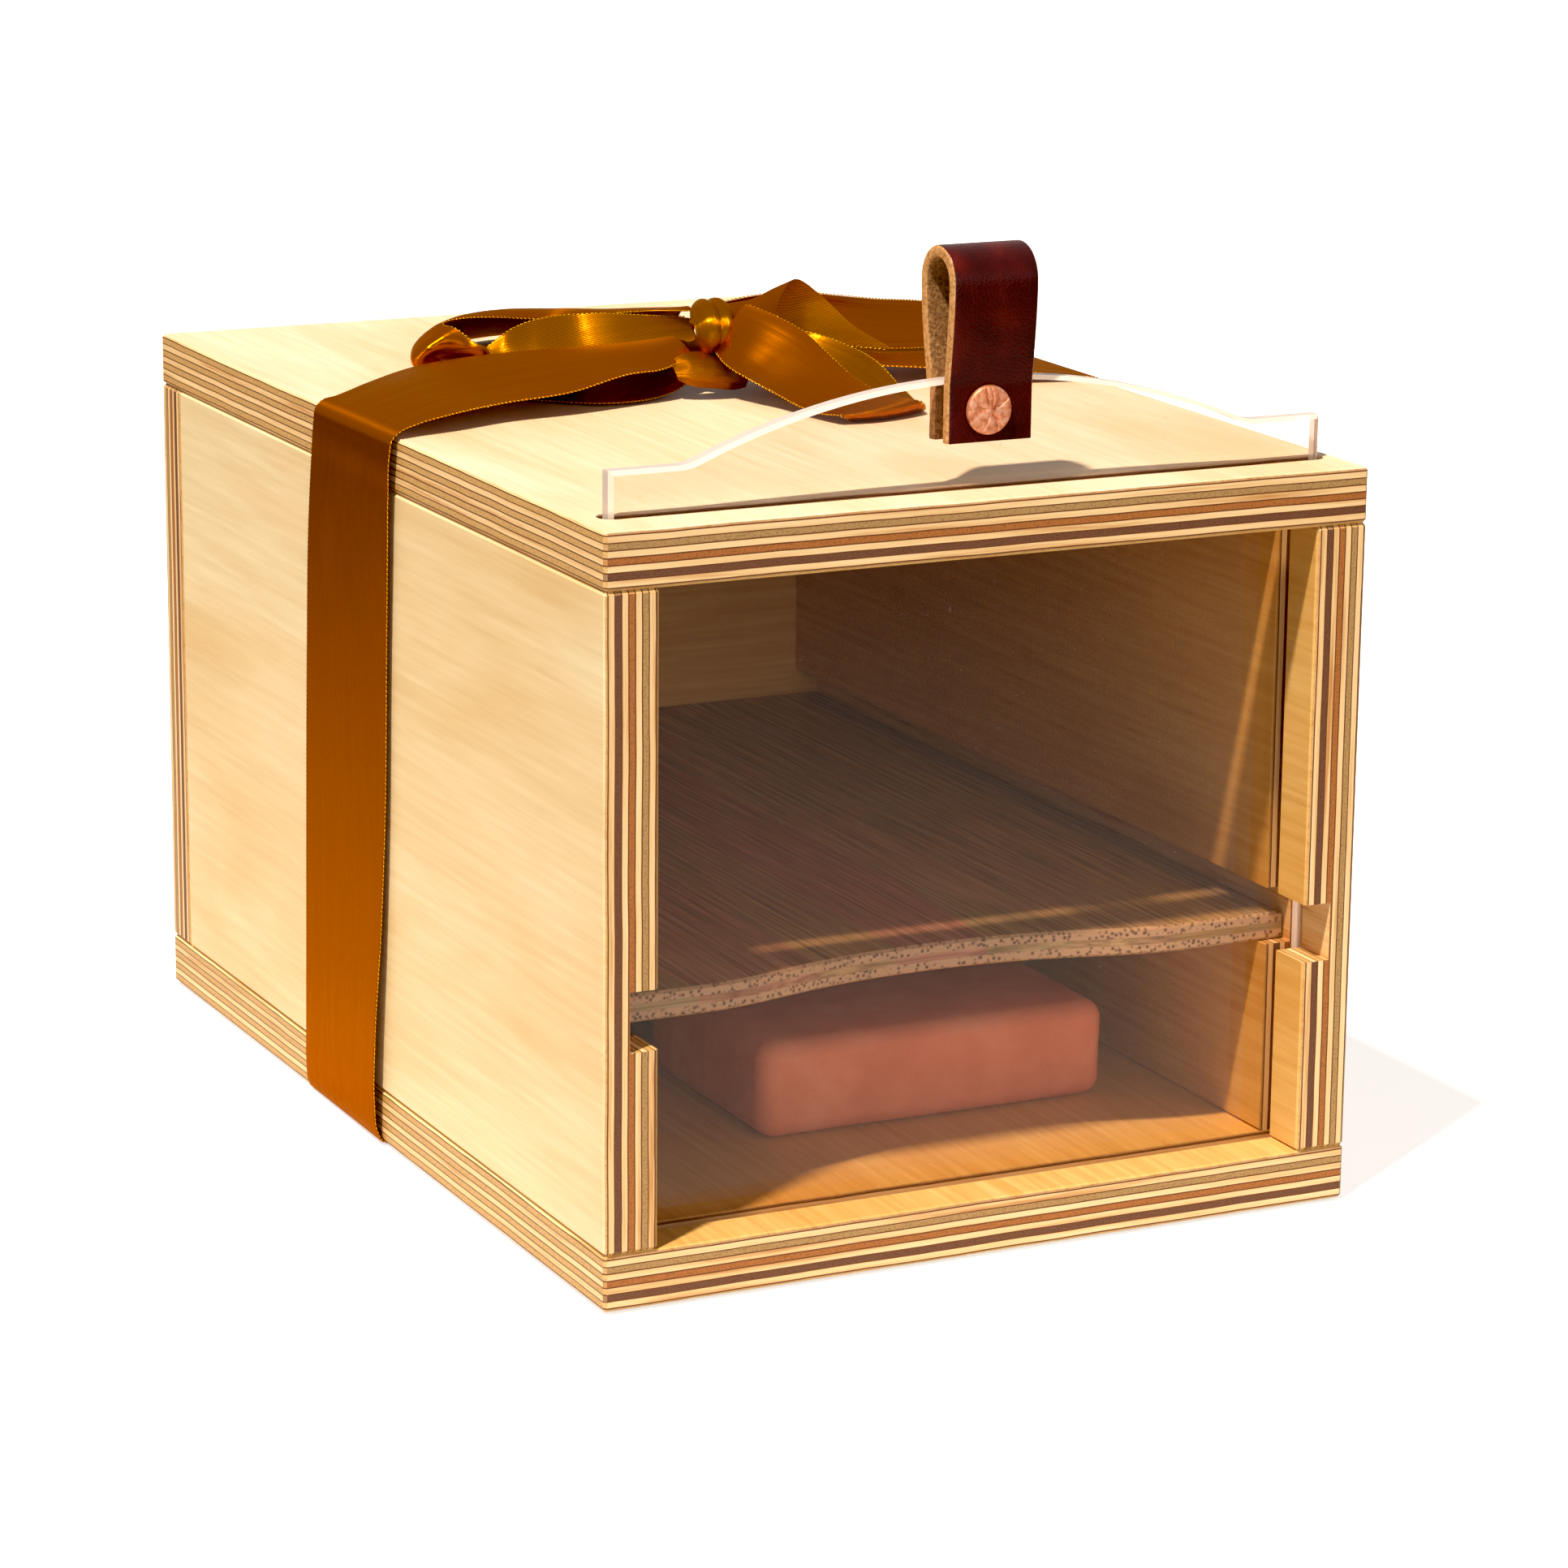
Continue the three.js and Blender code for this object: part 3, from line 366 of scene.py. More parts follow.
@dataclass(frozen=True)
class Bamboo:
    """Three-layer bamboo board: strips with fine fibre lines, and dotted bundles on cut ends."""

    bottom: float
    thick: float
    name: str = "laminated_bamboo"

    def material(self) -> bpy.types.Material:
        """Builds outer layers with grain in depth and a middle layer across.

        Returns:
            The material.
        """
        coat = Coat(self.name)
        tree, place = coat.tree, coat.place
        at = add_node(tree, "ShaderNodeSeparateXYZ", {0: place["Object"]})
        facing = add_node(tree, "ShaderNodeSeparateXYZ", {0: place["Normal"]})
        height = add_node(tree, "ShaderNodeMapRange", {"Value": at.outputs["Z"],
                                                       "From Min": self.bottom,
                                                       "From Max": self.bottom + self.thick})
        middle = add_node(tree, "ShaderNodeValToRGB", {"Fac": height.outputs[0]},
                          [(0.0, 0.0), (0.36, 1.0), (0.64, 0.0)], stepped=True).outputs["Color"]
        lines = []
        for axis in (Axis.Y, Axis.X):
            drawn = add_node(tree, "ShaderNodeMapping", {"Vector": place["Object"],
                                                         "Scale": stretch(axis, 40.0, 0.91)})
            lines.append(add_node(tree, "ShaderNodeTexNoise", {
                "Vector": drawn.outputs[0], "Scale": 1.0, "Detail": 3.0}).outputs["Fac"])
        fibre = add_node(tree, "ShaderNodeMix", {0: middle, 2: lines[0], 3: lines[1]}).outputs[0]
        strip_map = add_node(tree, "ShaderNodeMapping", {
            "Vector": place["Object"], "Scale": (per_metre(20.8), per_metre(333.0), 0.0)})
        strips = add_node(tree, "ShaderNodeTexVoronoi", {"Vector": strip_map.outputs[0],
                                                         "Scale": 1.0, "Randomness": 0.3})
        long_wood = add_node(tree, "ShaderNodeValToRGB", {"Fac": fibre},
                             [(0.3, "#7d5636"), (0.5, "#a87c55"), (0.7, "#c49a74")])
        toned = add_node(tree, "ShaderNodeMix", {0: 0.22, 6: long_wood.outputs["Color"],
                                                 7: strips.outputs["Color"]},
                         data_type="RGBA", blend_type="SOFT_LIGHT")
        bundles = add_node(tree, "ShaderNodeTexVoronoi", {"Vector": place["Object"],
                                                          "Scale": per_metre(1.05)})
        dots = add_node(tree, "ShaderNodeValToRGB", {"Fac": bundles.outputs["Distance"]},
                        [(0.22, "#5e3c28"), (0.5, "#c09a76")])
        front_on = add_node(tree, "ShaderNodeMath", {0: facing.outputs["Y"]}, operation="ABSOLUTE")
        outer = add_node(tree, "ShaderNodeMath", {0: 1.0, 1: middle}, operation="SUBTRACT")
        cut_end = add_node(tree, "ShaderNodeMath", {0: front_on.outputs[0], 1: outer.outputs[0]},
                           operation="MULTIPLY")
        wood = add_node(tree, "ShaderNodeMix", {0: cut_end.outputs[0], 6: toned.outputs[2],
                                                7: dots.outputs["Color"]}, data_type="RGBA")
        bump = add_node(tree, "ShaderNodeBump", {"Height": fibre, "Strength": 0.3,
                                                 "Distance": 0.1 * MM})
        return coat.finish({"Base Color": wood.outputs[2], "Normal": bump.outputs[0]}, Roughness=0.55)


class Hide(Enum):
    """The three surfaces of a cut leather strap."""

    GRAIN = "waxed_grain"
    EDGE = "cut_edge"
    FLESH = "flesh_side"


@dataclass(frozen=True)
class BridleLeather:
    """Oxblood bridle leather: waxed grain, raw tan edges and a fuzzy flesh side."""

    side: Hide

    def material(self) -> bpy.types.Material:
        """Builds one of the strap's surfaces.

        Returns:
            The material.
        """
        coat = Coat(f"bridle_leather_{self.side.value}")
        tree, at = coat.tree, coat.place["Object"]
        stops = {Hide.GRAIN: [(0.3, "#2e0605"), (0.55, "#440c09"), (0.8, "#62170e")],
                 Hide.EDGE: [(0.3, "#8a5a30"), (0.5, "#c58f58"), (0.7, "#e0b07a")],
                 Hide.FLESH: [(0.3, "#5a3a20"), (0.5, "#966a40"), (0.72, "#cc9e6c")]}[self.side]
        if self.side is Hide.GRAIN:
            pebbles = add_node(tree, "ShaderNodeTexVoronoi", {"Vector": at, "Scale": per_metre(0.588)})
            height = pebbles.outputs["Distance"]
            cloud = add_node(tree, "ShaderNodeTexNoise", {"Vector": at, "Scale": per_metre(8.33),
                                                          "Detail": 4.0}).outputs["Fac"]
            relief, rough = 0.08 * MM, 0.3
        else:
            cloud = add_node(tree, "ShaderNodeTexNoise", {"Vector": at, "Scale": per_metre(0.714),
                                                          "Detail": 5.0,
                                                          "Roughness": 0.7}).outputs["Fac"]
            height, relief, rough = cloud, 0.5 * MM, 0.85
        colour = add_node(tree, "ShaderNodeValToRGB", {"Fac": cloud}, stops)
        bump = add_node(tree, "ShaderNodeBump", {"Height": height, "Strength": 0.6,
                                                 "Distance": relief})
        return coat.finish({"Base Color": colour.outputs["Color"], "Normal": bump.outputs[0]},
                           Roughness=rough, Specular_IOR_Level=0.3)


@dataclass(frozen=True)
class HammeredCopper:
    """Solid copper, peened: bright satin metal with patches of brown tarnish."""

    name: str = "hammered_copper"

    def material(self) -> bpy.types.Material:
        """Builds the metal with tarnish by noise.

        Returns:
            The material.
        """
        coat = Coat(self.name)
        stain = add_node(coat.tree, "ShaderNodeTexNoise", {
            "Vector": coat.place["Object"], "Scale": per_metre(1.67), "Detail": 5.0,
            "Roughness": 0.65}).outputs["Fac"]
        colour = add_node(coat.tree, "ShaderNodeValToRGB", {"Fac": stain},
                          [(0.3, "#a8522f"), (0.5, "#e6946c"), (0.75, "#ffcdb0")])
        rough = add_node(coat.tree, "ShaderNodeMapRange", {"Value": stain, "To Min": 0.6,
                                                           "To Max": 0.35})
        return coat.finish({"Base Color": colour.outputs["Color"], "Roughness": rough.outputs[0]},
                           Metallic=0.7)


@dataclass(frozen=True)
class Terracotta:
    """Unglazed fired clay: chalky, with fine pits and pale rubbed patches."""

    name: str = "fired_terracotta"

    def material(self) -> bpy.types.Material:
        """Builds the chalky clay.

        Returns:
            The material.
        """
        coat = Coat(self.name)
        cloud, grit = (
            add_node(coat.tree, "ShaderNodeTexNoise", {"Vector": coat.place["Object"],
                                                       "Scale": per_metre(size), "Detail": detail})
            for size, detail in ((18.2, 5.0), (0.667, 3.0)))
        colour = add_node(coat.tree, "ShaderNodeValToRGB", {"Fac": cloud.outputs["Fac"]},
                          [(0.3, "#d57e60"), (0.55, "#e28e70"), (0.75, "#e8a086")])
        bump = add_node(coat.tree, "ShaderNodeBump", {"Height": grit.outputs["Fac"],
                                                      "Strength": 0.35, "Distance": 0.15 * MM})
        return coat.finish({"Base Color": colour.outputs["Color"], "Normal": bump.outputs[0]},
                           Roughness=0.9)


class Weave(Enum):
    """The surfaces of the ribbon."""

    FACE = "satin_face"
    REVERSE = "satin_reverse"
    PICOT = "picot_thread"


@dataclass(frozen=True)
class SatinRibbon:
    """Bronze gold polyester satin: a smooth shining face, a ribbed reverse and pale edge threads."""

    weave: Weave
    twill_pitch: float = 0.55 * MM
    twill_slant: float = math.radians(62.0)

    def material(self) -> bpy.types.Material:
        """Builds one surface of the ribbon on its UV map, which is in metres along and across.

        Returns:
            The material.
        """
        coat = Coat(f"bronze_{self.weave.value}")
        tree, place = coat.tree, coat.place
        dark, light = {Weave.FACE: ("#944a02", "#ae6206"), Weave.REVERSE: ("#763a01", "#bf7a14"),
                       Weave.PICOT: ("#b5770f", "#e2a63a")}[self.weave]
        fed = {}
        if self.weave is Weave.PICOT:
            thread = add_node(tree, "ShaderNodeTexNoise", {"Vector": place["Object"],
                                                           "Scale": per_metre(0.4)})
        else:
            # Twill lines a little over half a millimetre apart, slanting over the width, on soft
            # creases that run along the ribbon, centimetres long and millimetres wide.
            turned = add_node(tree, "ShaderNodeMapping", {
                "Vector": place["UV"], "Rotation": (0.0, 0.0, self.twill_slant)})
            thread = add_node(tree, "ShaderNodeTexWave", {
                "Vector": turned.outputs[0], "Scale": WAVE_LENGTH / self.twill_pitch,
                "Distortion": 0.6, "Detail": 1.0, "Detail Scale": 2.0})
            drawn = add_node(tree, "ShaderNodeMapping", {
                "Vector": place["UV"], "Scale": (per_metre(45.5), per_metre(7.69), 1.0)})
            crease = add_node(tree, "ShaderNodeTexNoise", {"Vector": drawn.outputs[0],
                                                           "Scale": 1.0, "Detail": 2.0})
            soft = add_node(tree, "ShaderNodeBump", {"Height": crease.outputs["Fac"],
                                                     "Strength": 0.5, "Distance": 1.2 * MM})
            ribs = add_node(tree, "ShaderNodeBump", {
                "Height": thread.outputs["Fac"], "Distance": 0.08 * MM, "Normal": soft.outputs[0],
                "Strength": 0.22 if self.weave is Weave.FACE else 0.5})
            # The threads of the face lie along the ribbon, so its shine spreads across.
            lie = add_node(tree, "ShaderNodeTangent", direction_type="UV_MAP", uv_map=UV_NAME)
            fed = {"Normal": ribs.outputs[0], "Tangent": lie.outputs[0]}
        # The twill lines take the light tone and the gaps the dark one: on the face and the reverse this is
        # partly the weave, partly painted glint and shade of the ribs.
        colour = add_node(tree, "ShaderNodeMix", {0: thread.outputs["Fac"], 6: linear(dark),
                                                  7: linear(light)}, data_type="RGBA")
        return coat.finish({"Base Color": colour.outputs[2], **fed}, Metallic=0.88, Roughness=0.3,
                           Anisotropic=0.85, Anisotropic_Rotation=0.25,
                           Specular_Tint=linear("#ffc45a"))


def cubic_weights(knots: np.ndarray, at: np.ndarray) -> np.ndarray:
    """Weights of a smooth cubic that passes through its values at the knots.

    Between two knots it is the cubic with the values and slopes at both ends; the slope at an
    inner knot is the mean of its two chords, each weighted by the other's length.

    Args:
        knots: rising parameters of the control values.
        at: parameters to evaluate.

    Returns:
        One row of weights over the knots for each parameter.
    """
    values = np.eye(len(knots))
    step = np.diff(knots)
    chord = np.diff(values, axis=0) / step[:, None]
    mean = chord[:-1] * step[1:, None] + chord[1:] * step[:-1, None]
    slope = np.vstack([chord[:1], mean / (step[:-1] + step[1:])[:, None], chord[-1:]])
    cell = np.clip(np.searchsorted(knots, at, side="right") - 1, 0, len(knots) - 2)
    width = step[cell][:, None]
    s = ((at - knots[cell]) / step[cell])[:, None]
    return ((1 + 2 * s) * (1 - s) ** 2 * values[cell] + s * (1 - s) ** 2 * width * slope[cell]
            + s ** 2 * (3 - 2 * s) * values[cell + 1] + s ** 2 * (s - 1) * width * slope[cell + 1])


def loft(control: np.ndarray, along: int, across: int) -> np.ndarray:
    """Smooth sheet through a grid of control points.

    A point is the sum of the control points, each times its cubic weight along the length and its
    cubic weight across the width. Knots along the length are spaced by the mean chord.

    Args:
        control: stations by rails by 3.
        along: samples along the length.
        across: samples across the width.

    Returns:
        An array of along by across by 3.
    """
    chord = np.linalg.norm(np.diff(control, axis=0), axis=2).mean(axis=1)
    knots = np.concatenate([[0.0], np.cumsum(chord)])
    length = cubic_weights(knots, np.linspace(0.0, knots[-1], along))
    rails = np.linspace(0.0, 1.0, control.shape[1])
    width = cubic_weights(rails, np.linspace(0.0, 1.0, across))
    return np.einsum("is,srk,jr->ijk", length, control, width)


def grid_faces(rows: int, columns: int, start: int = 0) -> np.ndarray:
    """Quads of an open grid, numbered row by row.

    Args:
        rows: points along the first parameter.
        columns: points along the second.
        start: number of the first point.

    Returns:
        Four point numbers for each quad.
    """
    number = start + np.arange(rows * columns).reshape(rows, columns)
    return np.stack([number[:-1, :-1], number[1:, :-1], number[1:, 1:], number[:-1, 1:]],
                    axis=-1).reshape(-1, 4)


def surface_normals(sheet: np.ndarray) -> np.ndarray:
    """Unit normals of a grid: the cross product of its two gradients."""
    normal = np.cross(np.gradient(sheet, axis=0), np.gradient(sheet, axis=1))
    return normal / np.linalg.norm(normal, axis=2, keepdims=True)


def make_piece(name: str, points: np.ndarray, faces: list, materials: list,
               slots: np.ndarray | None = None, uv: np.ndarray | None = None,
               crease: float = 40.0) -> bpy.types.Object:
    """Puts arrays into a mesh object at the origin.

    Args:
        name: the piece's name.
        points: vertices, by 3, in metres.
        faces: point numbers of each face.
        materials: the piece's materials.
        slots: material number of each face.
        uv: UV of each vertex.
        crease: edges sharper than this many degrees stay sharp.

    Returns:
        The object.
    """
    mesh = bpy.data.meshes.new(name)
    mesh.from_pydata(points.tolist(), [], [list(map(int, face)) for face in faces])
    for material in materials:
        mesh.materials.append(material)
    mesh.polygons.foreach_set("use_smooth", np.ones(len(mesh.polygons), dtype=bool))
    if slots is not None:
        mesh.polygons.foreach_set("material_index", slots.astype(np.int32))
    if uv is not None:
        corners = np.empty(len(mesh.loops), dtype=np.int32)
        mesh.loops.foreach_get("vertex_index", corners)
        mesh.uv_layers.new(name=UV_NAME).data.foreach_set("uv", uv[corners].ravel())
    mesh.set_sharp_from_angle(angle=math.radians(crease))
    mesh.validate()
    piece = bpy.data.objects.new(name, mesh)
    bpy.context.scene.collection.objects.link(piece)
    return piece


def closed_rings(rings: np.ndarray, first: np.ndarray, last: np.ndarray) -> tuple[np.ndarray, list]:
    """Closes a stack of rings with a pole at each end.

    Args:
        rings: rings by points by 3, each ring running the same way round.
        first: pole under the first ring.
        last: pole over the last ring.

    Returns:
        The vertices and the faces.
    """
    count, sides = rings.shape[:2]
    number = np.arange(count * sides).reshape(count, sides)
    following = np.roll(number, -1, axis=1)
    quads = np.stack([number[:-1], following[:-1], following[1:], number[1:]], axis=-1)
    bottom, top = count * sides, count * sides + 1
    fans = [np.stack([following[0], number[0], np.full(sides, bottom)], axis=-1),
            np.stack([number[-1], following[-1], np.full(sides, top)], axis=-1)]
    points = np.concatenate([rings.reshape(-1, 3), first[None], last[None]])
    return points, quads.reshape(-1, 4).tolist() + fans[0].tolist() + fans[1].tolist()


def paint(node: str, material: bpy.types.Material) -> bpy.types.Object:
    """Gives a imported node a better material.

    Args:
        node: the node's name.
        material: its finish.

    Returns:
        The node's object.
    """
    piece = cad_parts[node]
    for place in piece.material_slots:
        place.material = material
    return piece


@dataclass
class Carcass:
    """Five plywood boards and the dowels in their joints."""

    ply: float = 12.0 * MM

    def dress(self) -> list[bpy.types.Object]:
        """Gives each board wood that is layered through its own thickness.

        Returns:
            The board and dowel objects.
        """
        # Inner faces take the inside veneer, which is painted shade of the interior.
        out, lid, painted_shade_inside = Veneer.OUTSIDE, Veneer.LID, Veneer.PAINTED_SHADE_INSIDE
        lay = {"top_panel": (Axis.Z, Axis.Y, Axis.X, (painted_shade_inside, lid)),
               "bottom_panel": (Axis.Z, Axis.Y, Axis.X, (out, painted_shade_inside)),
               "left_side": (Axis.X, Axis.Y, Axis.Z, (out, painted_shade_inside)),
               "right_side": (Axis.X, Axis.Y, Axis.Z, (painted_shade_inside, out)),
               "back_panel": (Axis.Y, Axis.X, Axis.Z, (painted_shade_inside, out))}
        pieces = []
        for name, (through, along, across, veneers) in lay.items():
            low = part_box(name)[0][through.value]
            wood = BirchPlywood(f"birch_plywood_{name}", through, low, self.ply, along, across, veneers)
            pieces.append(paint(name, wood.material()))
        beech = BeechDowel().material()
        pieces += [paint(name, beech) for name in sorted(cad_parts) if name.startswith("dowel")]
        return pieces


@dataclass
class LiftOutFront:
    """The clear panel, its leather pull and the rivet."""

    strap_width: float = 19.5 * MM
    strap_thick: float = 2.6 * MM
    corner: float = 0.75 * MM
    shift: float = 2.2 * MM
    middle: float = -115.825 * MM
    bottom: float = 171.5 * MM
    top: float = 211.3 * MM
    pinch: float = 183.0 * MM
    pinch_half: float = 3.7 * MM
    loop_radius: float = 6.1 * MM
    loop_lean: float = 0.6 * MM
    leg_points: int = 70
    corner_points: int = 16
    face_points: int = 13
    # Share of the rivet's radius at which its edge begins to round over.
    rivet_rim: float = 0.94
    dent_depth: float = 0.10 * MM
    crease_depth: float = 0.16 * MM
    crease_width: float = 0.035

    def strap_path(self) -> np.ndarray:
        """Centre line of the strap: up the front, over the loop and down the back.

        Each leg swings out from the pinch to the loop by a smooth step, the rear one further, and
        the top is a half circle.

        Returns:
            Points as (y, z).
        """
        crown = self.top - self.strap_thick / 2 - self.loop_radius
        height = np.linspace(self.bottom, crown, self.leg_points)
        s = np.clip((height - self.pinch) / (crown - self.pinch), 0.0, 1.0)
        swing = 1 - (1 - s) ** 2 * (1 + 0.6 * s)
        front = -self.pinch_half - (self.loop_radius - self.loop_lean - self.pinch_half) * swing
        rear = self.pinch_half + (self.loop_radius + self.loop_lean - self.pinch_half) * swing
        turn = np.linspace(np.pi, 0.0, self.leg_points // 2)[1:-1]
        arc = np.stack([self.loop_lean + self.loop_radius * np.cos(turn),
                        crown + self.loop_radius * np.sin(turn)], -1)
        return np.concatenate([np.stack([front, height], -1), arc,
                               np.stack([rear, height], -1)[::-1]])

    def strap_section(self) -> np.ndarray:
        """Outline of the strap: a rounded rectangle with extra points on its two broad faces.

        Returns:
            Points as (across, outward).
        """
        count = 4 * self.corner_points
        turn = np.linspace(0, 2 * np.pi, count, endpoint=False) + np.pi / count
        half = np.array([self.strap_width / 2, self.strap_thick / 2]) - self.corner
        unit = np.stack([np.cos(turn), np.sin(turn)], -1)
        corners = np.split(unit * self.corner + np.sign(unit) * half, 4)
        spread = np.linspace(-1.0, 1.0, self.face_points + 2)[1:-1] * half[0]
        level = np.full(self.face_points, self.strap_thick / 2)
        outer, inner = np.stack([-spread, level], -1), np.stack([spread, -level], -1)
        return np.concatenate([corners[0], outer, corners[1], corners[2], inner, corners[3]])

    def strap(self) -> bpy.types.Object:
        """Carries the strap's section along its centre line.

        Returns:
            The leather pull.
        """
        path, section = self.strap_path(), self.strap_section()
        tangent = np.gradient(path, axis=0)
        tangent /= np.linalg.norm(tangent, axis=1, keepdims=True)
        outward = np.stack([-tangent[:, 1], tangent[:, 0]], -1)
        rows = np.zeros((len(path), len(section), 3))
        rows[..., 0] = self.shift + section[None, :, 0]
        rows[..., 1] = self.middle + path[:, :1] + outward[:, :1] * section[None, :, 1]
        rows[..., 2] = path[:, 1:] + outward[:, 1:] * section[None, :, 1]
        points, faces = closed_rings(rows[:, ::-1], rows[0].mean(axis=0), rows[-1].mean(axis=0))
        # Faces of the section's flats are grain outside and flesh inside, and the rest is cut edge.
        sides = list(Hide)
        grain, edge, flesh = (sides.index(side) for side in (Hide.GRAIN, Hide.EDGE, Hide.FLESH))
        outness = np.tile(section[::-1, 1], len(path) - 1)
        flat = self.strap_thick / 2 - 0.12 * MM
        slots = np.full(len(faces), edge)
        slots[:len(outness)] = np.where(outness > flat, grain, np.where(outness < -flat, flesh, edge))
        materials = [BridleLeather(side).material() for side in sides]
        piece = make_piece("leather_pull_strap", points, faces, materials, slots)
        LOG.info("strap with %d points round its section", len(section))
        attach(piece, "front")
        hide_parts("leather_pull")
        return piece

    def rivet(self) -> bpy.types.Object:
        """Domed rivet head with hammer marks.

        The height over the rim is a dome in the radius, less shallow round dents and thin radial
        creases where the hammer spread the metal.

        Returns:
            The rivet head.
        """
        low, high = (np.array(corner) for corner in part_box("rivet_head"))
        centre = (low + high) / 2
        radius, rise, base = (high[0] - low[0]) / 2, high[1] - low[1], high[1]
        edge = 1 - self.rivet_rim
        dome_rings, rim_rings, sides = 34, 6, 120
        roll = np.sin(np.linspace(0.15, 1.0, rim_rings) * np.pi / 2)
        out = np.concatenate([np.linspace(0.03, self.rivet_rim, dome_rings),
                              self.rivet_rim + edge * roll])
        turn = np.linspace(0, 2 * np.pi, sides, endpoint=False)
        r, t = np.meshgrid(out, turn, indexing="ij")
        dome = rise * (1 - 0.3 * r ** 2)
        rim = np.clip((r - self.rivet_rim) / edge, 0, 1)
        dome = dome * np.sqrt(np.clip(1 - rim ** 2, 0, 1)) * 0.65 + 0.35 * dome * (1 - rim * 0.6)
        x, z = r * np.cos(t), r * np.sin(t)
        draws = np.random.default_rng(11)
        dents = np.zeros_like(r)
        for cx, cz, size in draws.uniform((-0.75, -0.75, 0.12), (0.75, 0.75, 0.3), (16, 3)):
            dents += np.exp(-(((x - cx) ** 2 + (z - cz) ** 2) / size ** 2))
        creases = np.zeros_like(r)
        for angle, bend in draws.uniform((0, -0.6), (2 * np.pi, 0.6), (11, 2)):
            off = np.angle(np.exp(1j * (t - angle - bend * r)))
            creases += np.exp(-((off * r / self.crease_width) ** 2)) * np.clip(r / 0.3, 0, 1)
        marks = self.dent_depth * dents + self.crease_depth * creases
        height = dome - marks * (1 - rim)
        points = np.stack([centre[0] + radius * x, base - np.clip(height, 0.02 * MM, rise),
                           centre[2] + radius * z], -1)
        foot = points[-1:].copy()
        foot[..., 1] = base
        top = np.array([centre[0], points[0, :, 1].mean(), centre[2]])
        under = np.array([centre[0], base, centre[2]])
        vertices, faces = closed_rings(np.concatenate([points, foot]), top, under)
        piece = make_piece("rivet_hammered_head", vertices, faces, [HammeredCopper().material()])
        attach(piece, "front")
        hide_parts("rivet_head")
        return piece

    def dress(self) -> list[bpy.types.Object]:
        """Paints the panel and the rivet's post, and makes the strap and the head.

        Returns:
            The pieces.
        """
        panel = paint("front_panel", ClearAcrylic().material())
        post = paint("rivet_post", HammeredCopper("copper_post").material())
        return [panel, post, self.strap(), self.rivet()]


@dataclass
class ShelfAndBrick:
    """The bamboo shelf and the loose clay brick below it."""

    round_edge: float = 4.5 * MM
    bend_points: int = 9
    corner_points: int = 10
    run_points: int = 11
    waviness: float = 0.0045

    def brick_outline(self) -> np.ndarray:
        """Points round a rounded rectangle, four corners and the straight runs between them.

        Returns:
            For each point, its way out from the corner's centre and the signs of that corner.
        """
        quarters = []
        for k, signs in enumerate(((1, 1), (-1, 1), (-1, -1), (1, -1))):
            turn = np.linspace(0, np.pi / 2, self.corner_points) + k * np.pi / 2
            quarters.append(np.column_stack([np.cos(turn), np.sin(turn),
                                             np.tile(signs, (self.corner_points, 1))]))
        # Straight runs get points of their own so that the faces can wave.
        share = np.linspace(0, 1, self.run_points + 2)[1:-1, None]
        return np.concatenate([np.vstack([quarter, quarter[-1] + (after[0] - quarter[-1]) * share])
                               for quarter, after in zip(quarters, quarters[1:] + quarters[:1])])

    def brick(self) -> bpy.types.Object:
        """Clay brick as rounded rings from the middle of its foot to the middle of its top.

        Each ring is a rounded rectangle. Its inset and height follow a quarter circle round the
        edges, and a slow wave of sines moves the faces in and out a little, as pressed clay dries.

        Returns:
            The brick.
        """
        low, high = (np.array(corner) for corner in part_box("humidity_brick"))
        centre, half = (low + high) / 2, (high - low) / 2
        edge = self.round_edge
        bend = np.linspace(0, np.pi / 2, self.bend_points)
        lower = [(edge * (1 - np.sin(a)), -half[2] + edge * (1 - np.cos(a))) for a in bend]
        upper = [(inset, -level) for inset, level in reversed(lower)]
        inward = [half[1] * share for share in (0.85, 0.6, 0.35, 0.15)]
        rows = [(edge + inset, -half[2]) for inset in inward] + lower
        rows += [(0.0, level) for level in np.linspace(lower[-1][1], upper[0][1], 6)[1:-1]]
        rows += upper + [(edge + inset, half[2]) for inset in reversed(inward)]
        inset, level = np.array(rows).T
        outline = self.brick_outline()
        reach = np.clip(edge - inset, 0.0, edge)
        shrink = np.clip(inset - edge, 0.0, None)
        box = np.clip(half[:2] - edge - shrink[:, None], 0.4 * MM, None)
        xy = outline[None, :, 2:] * box[:, None, :] + outline[None, :, :2] * reach[:, None, None]
        rings = np.concatenate([xy, np.repeat(level[:, None, None], len(outline), axis=1)], axis=-1)
        wave = (np.sin(rings[..., 0] * 95 + 1.0) * np.sin(rings[..., 1] * 120 + 0.4)
                + 0.6 * np.sin(rings[..., 2] * 260 + rings[..., 0] * 60))
        foot = rings[..., 2:] <= -half[2] + 1e-6
        rings = rings * (1 - self.waviness * (0.8 + wave[..., None]) * ~foot) + centre
        under = centre - (0.0, 0.0, half[2])
        over = np.array([centre[0], centre[1], rings[-1, :, 2].mean()])
        points, faces = closed_rings(rings, under, over)
        piece = make_piece("humidity_brick_clay", points, faces, [Terracotta().material()])
        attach(piece, "brick")
        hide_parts("humidity_brick")
        return piece

    def dress(self) -> list[bpy.types.Object]:
        """Paints the shelf, makes the brick and returns both."""
        low, high = (corner[2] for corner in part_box("shelf"))
        return [paint("shelf", Bamboo(low, high - low).material()), self.brick()]


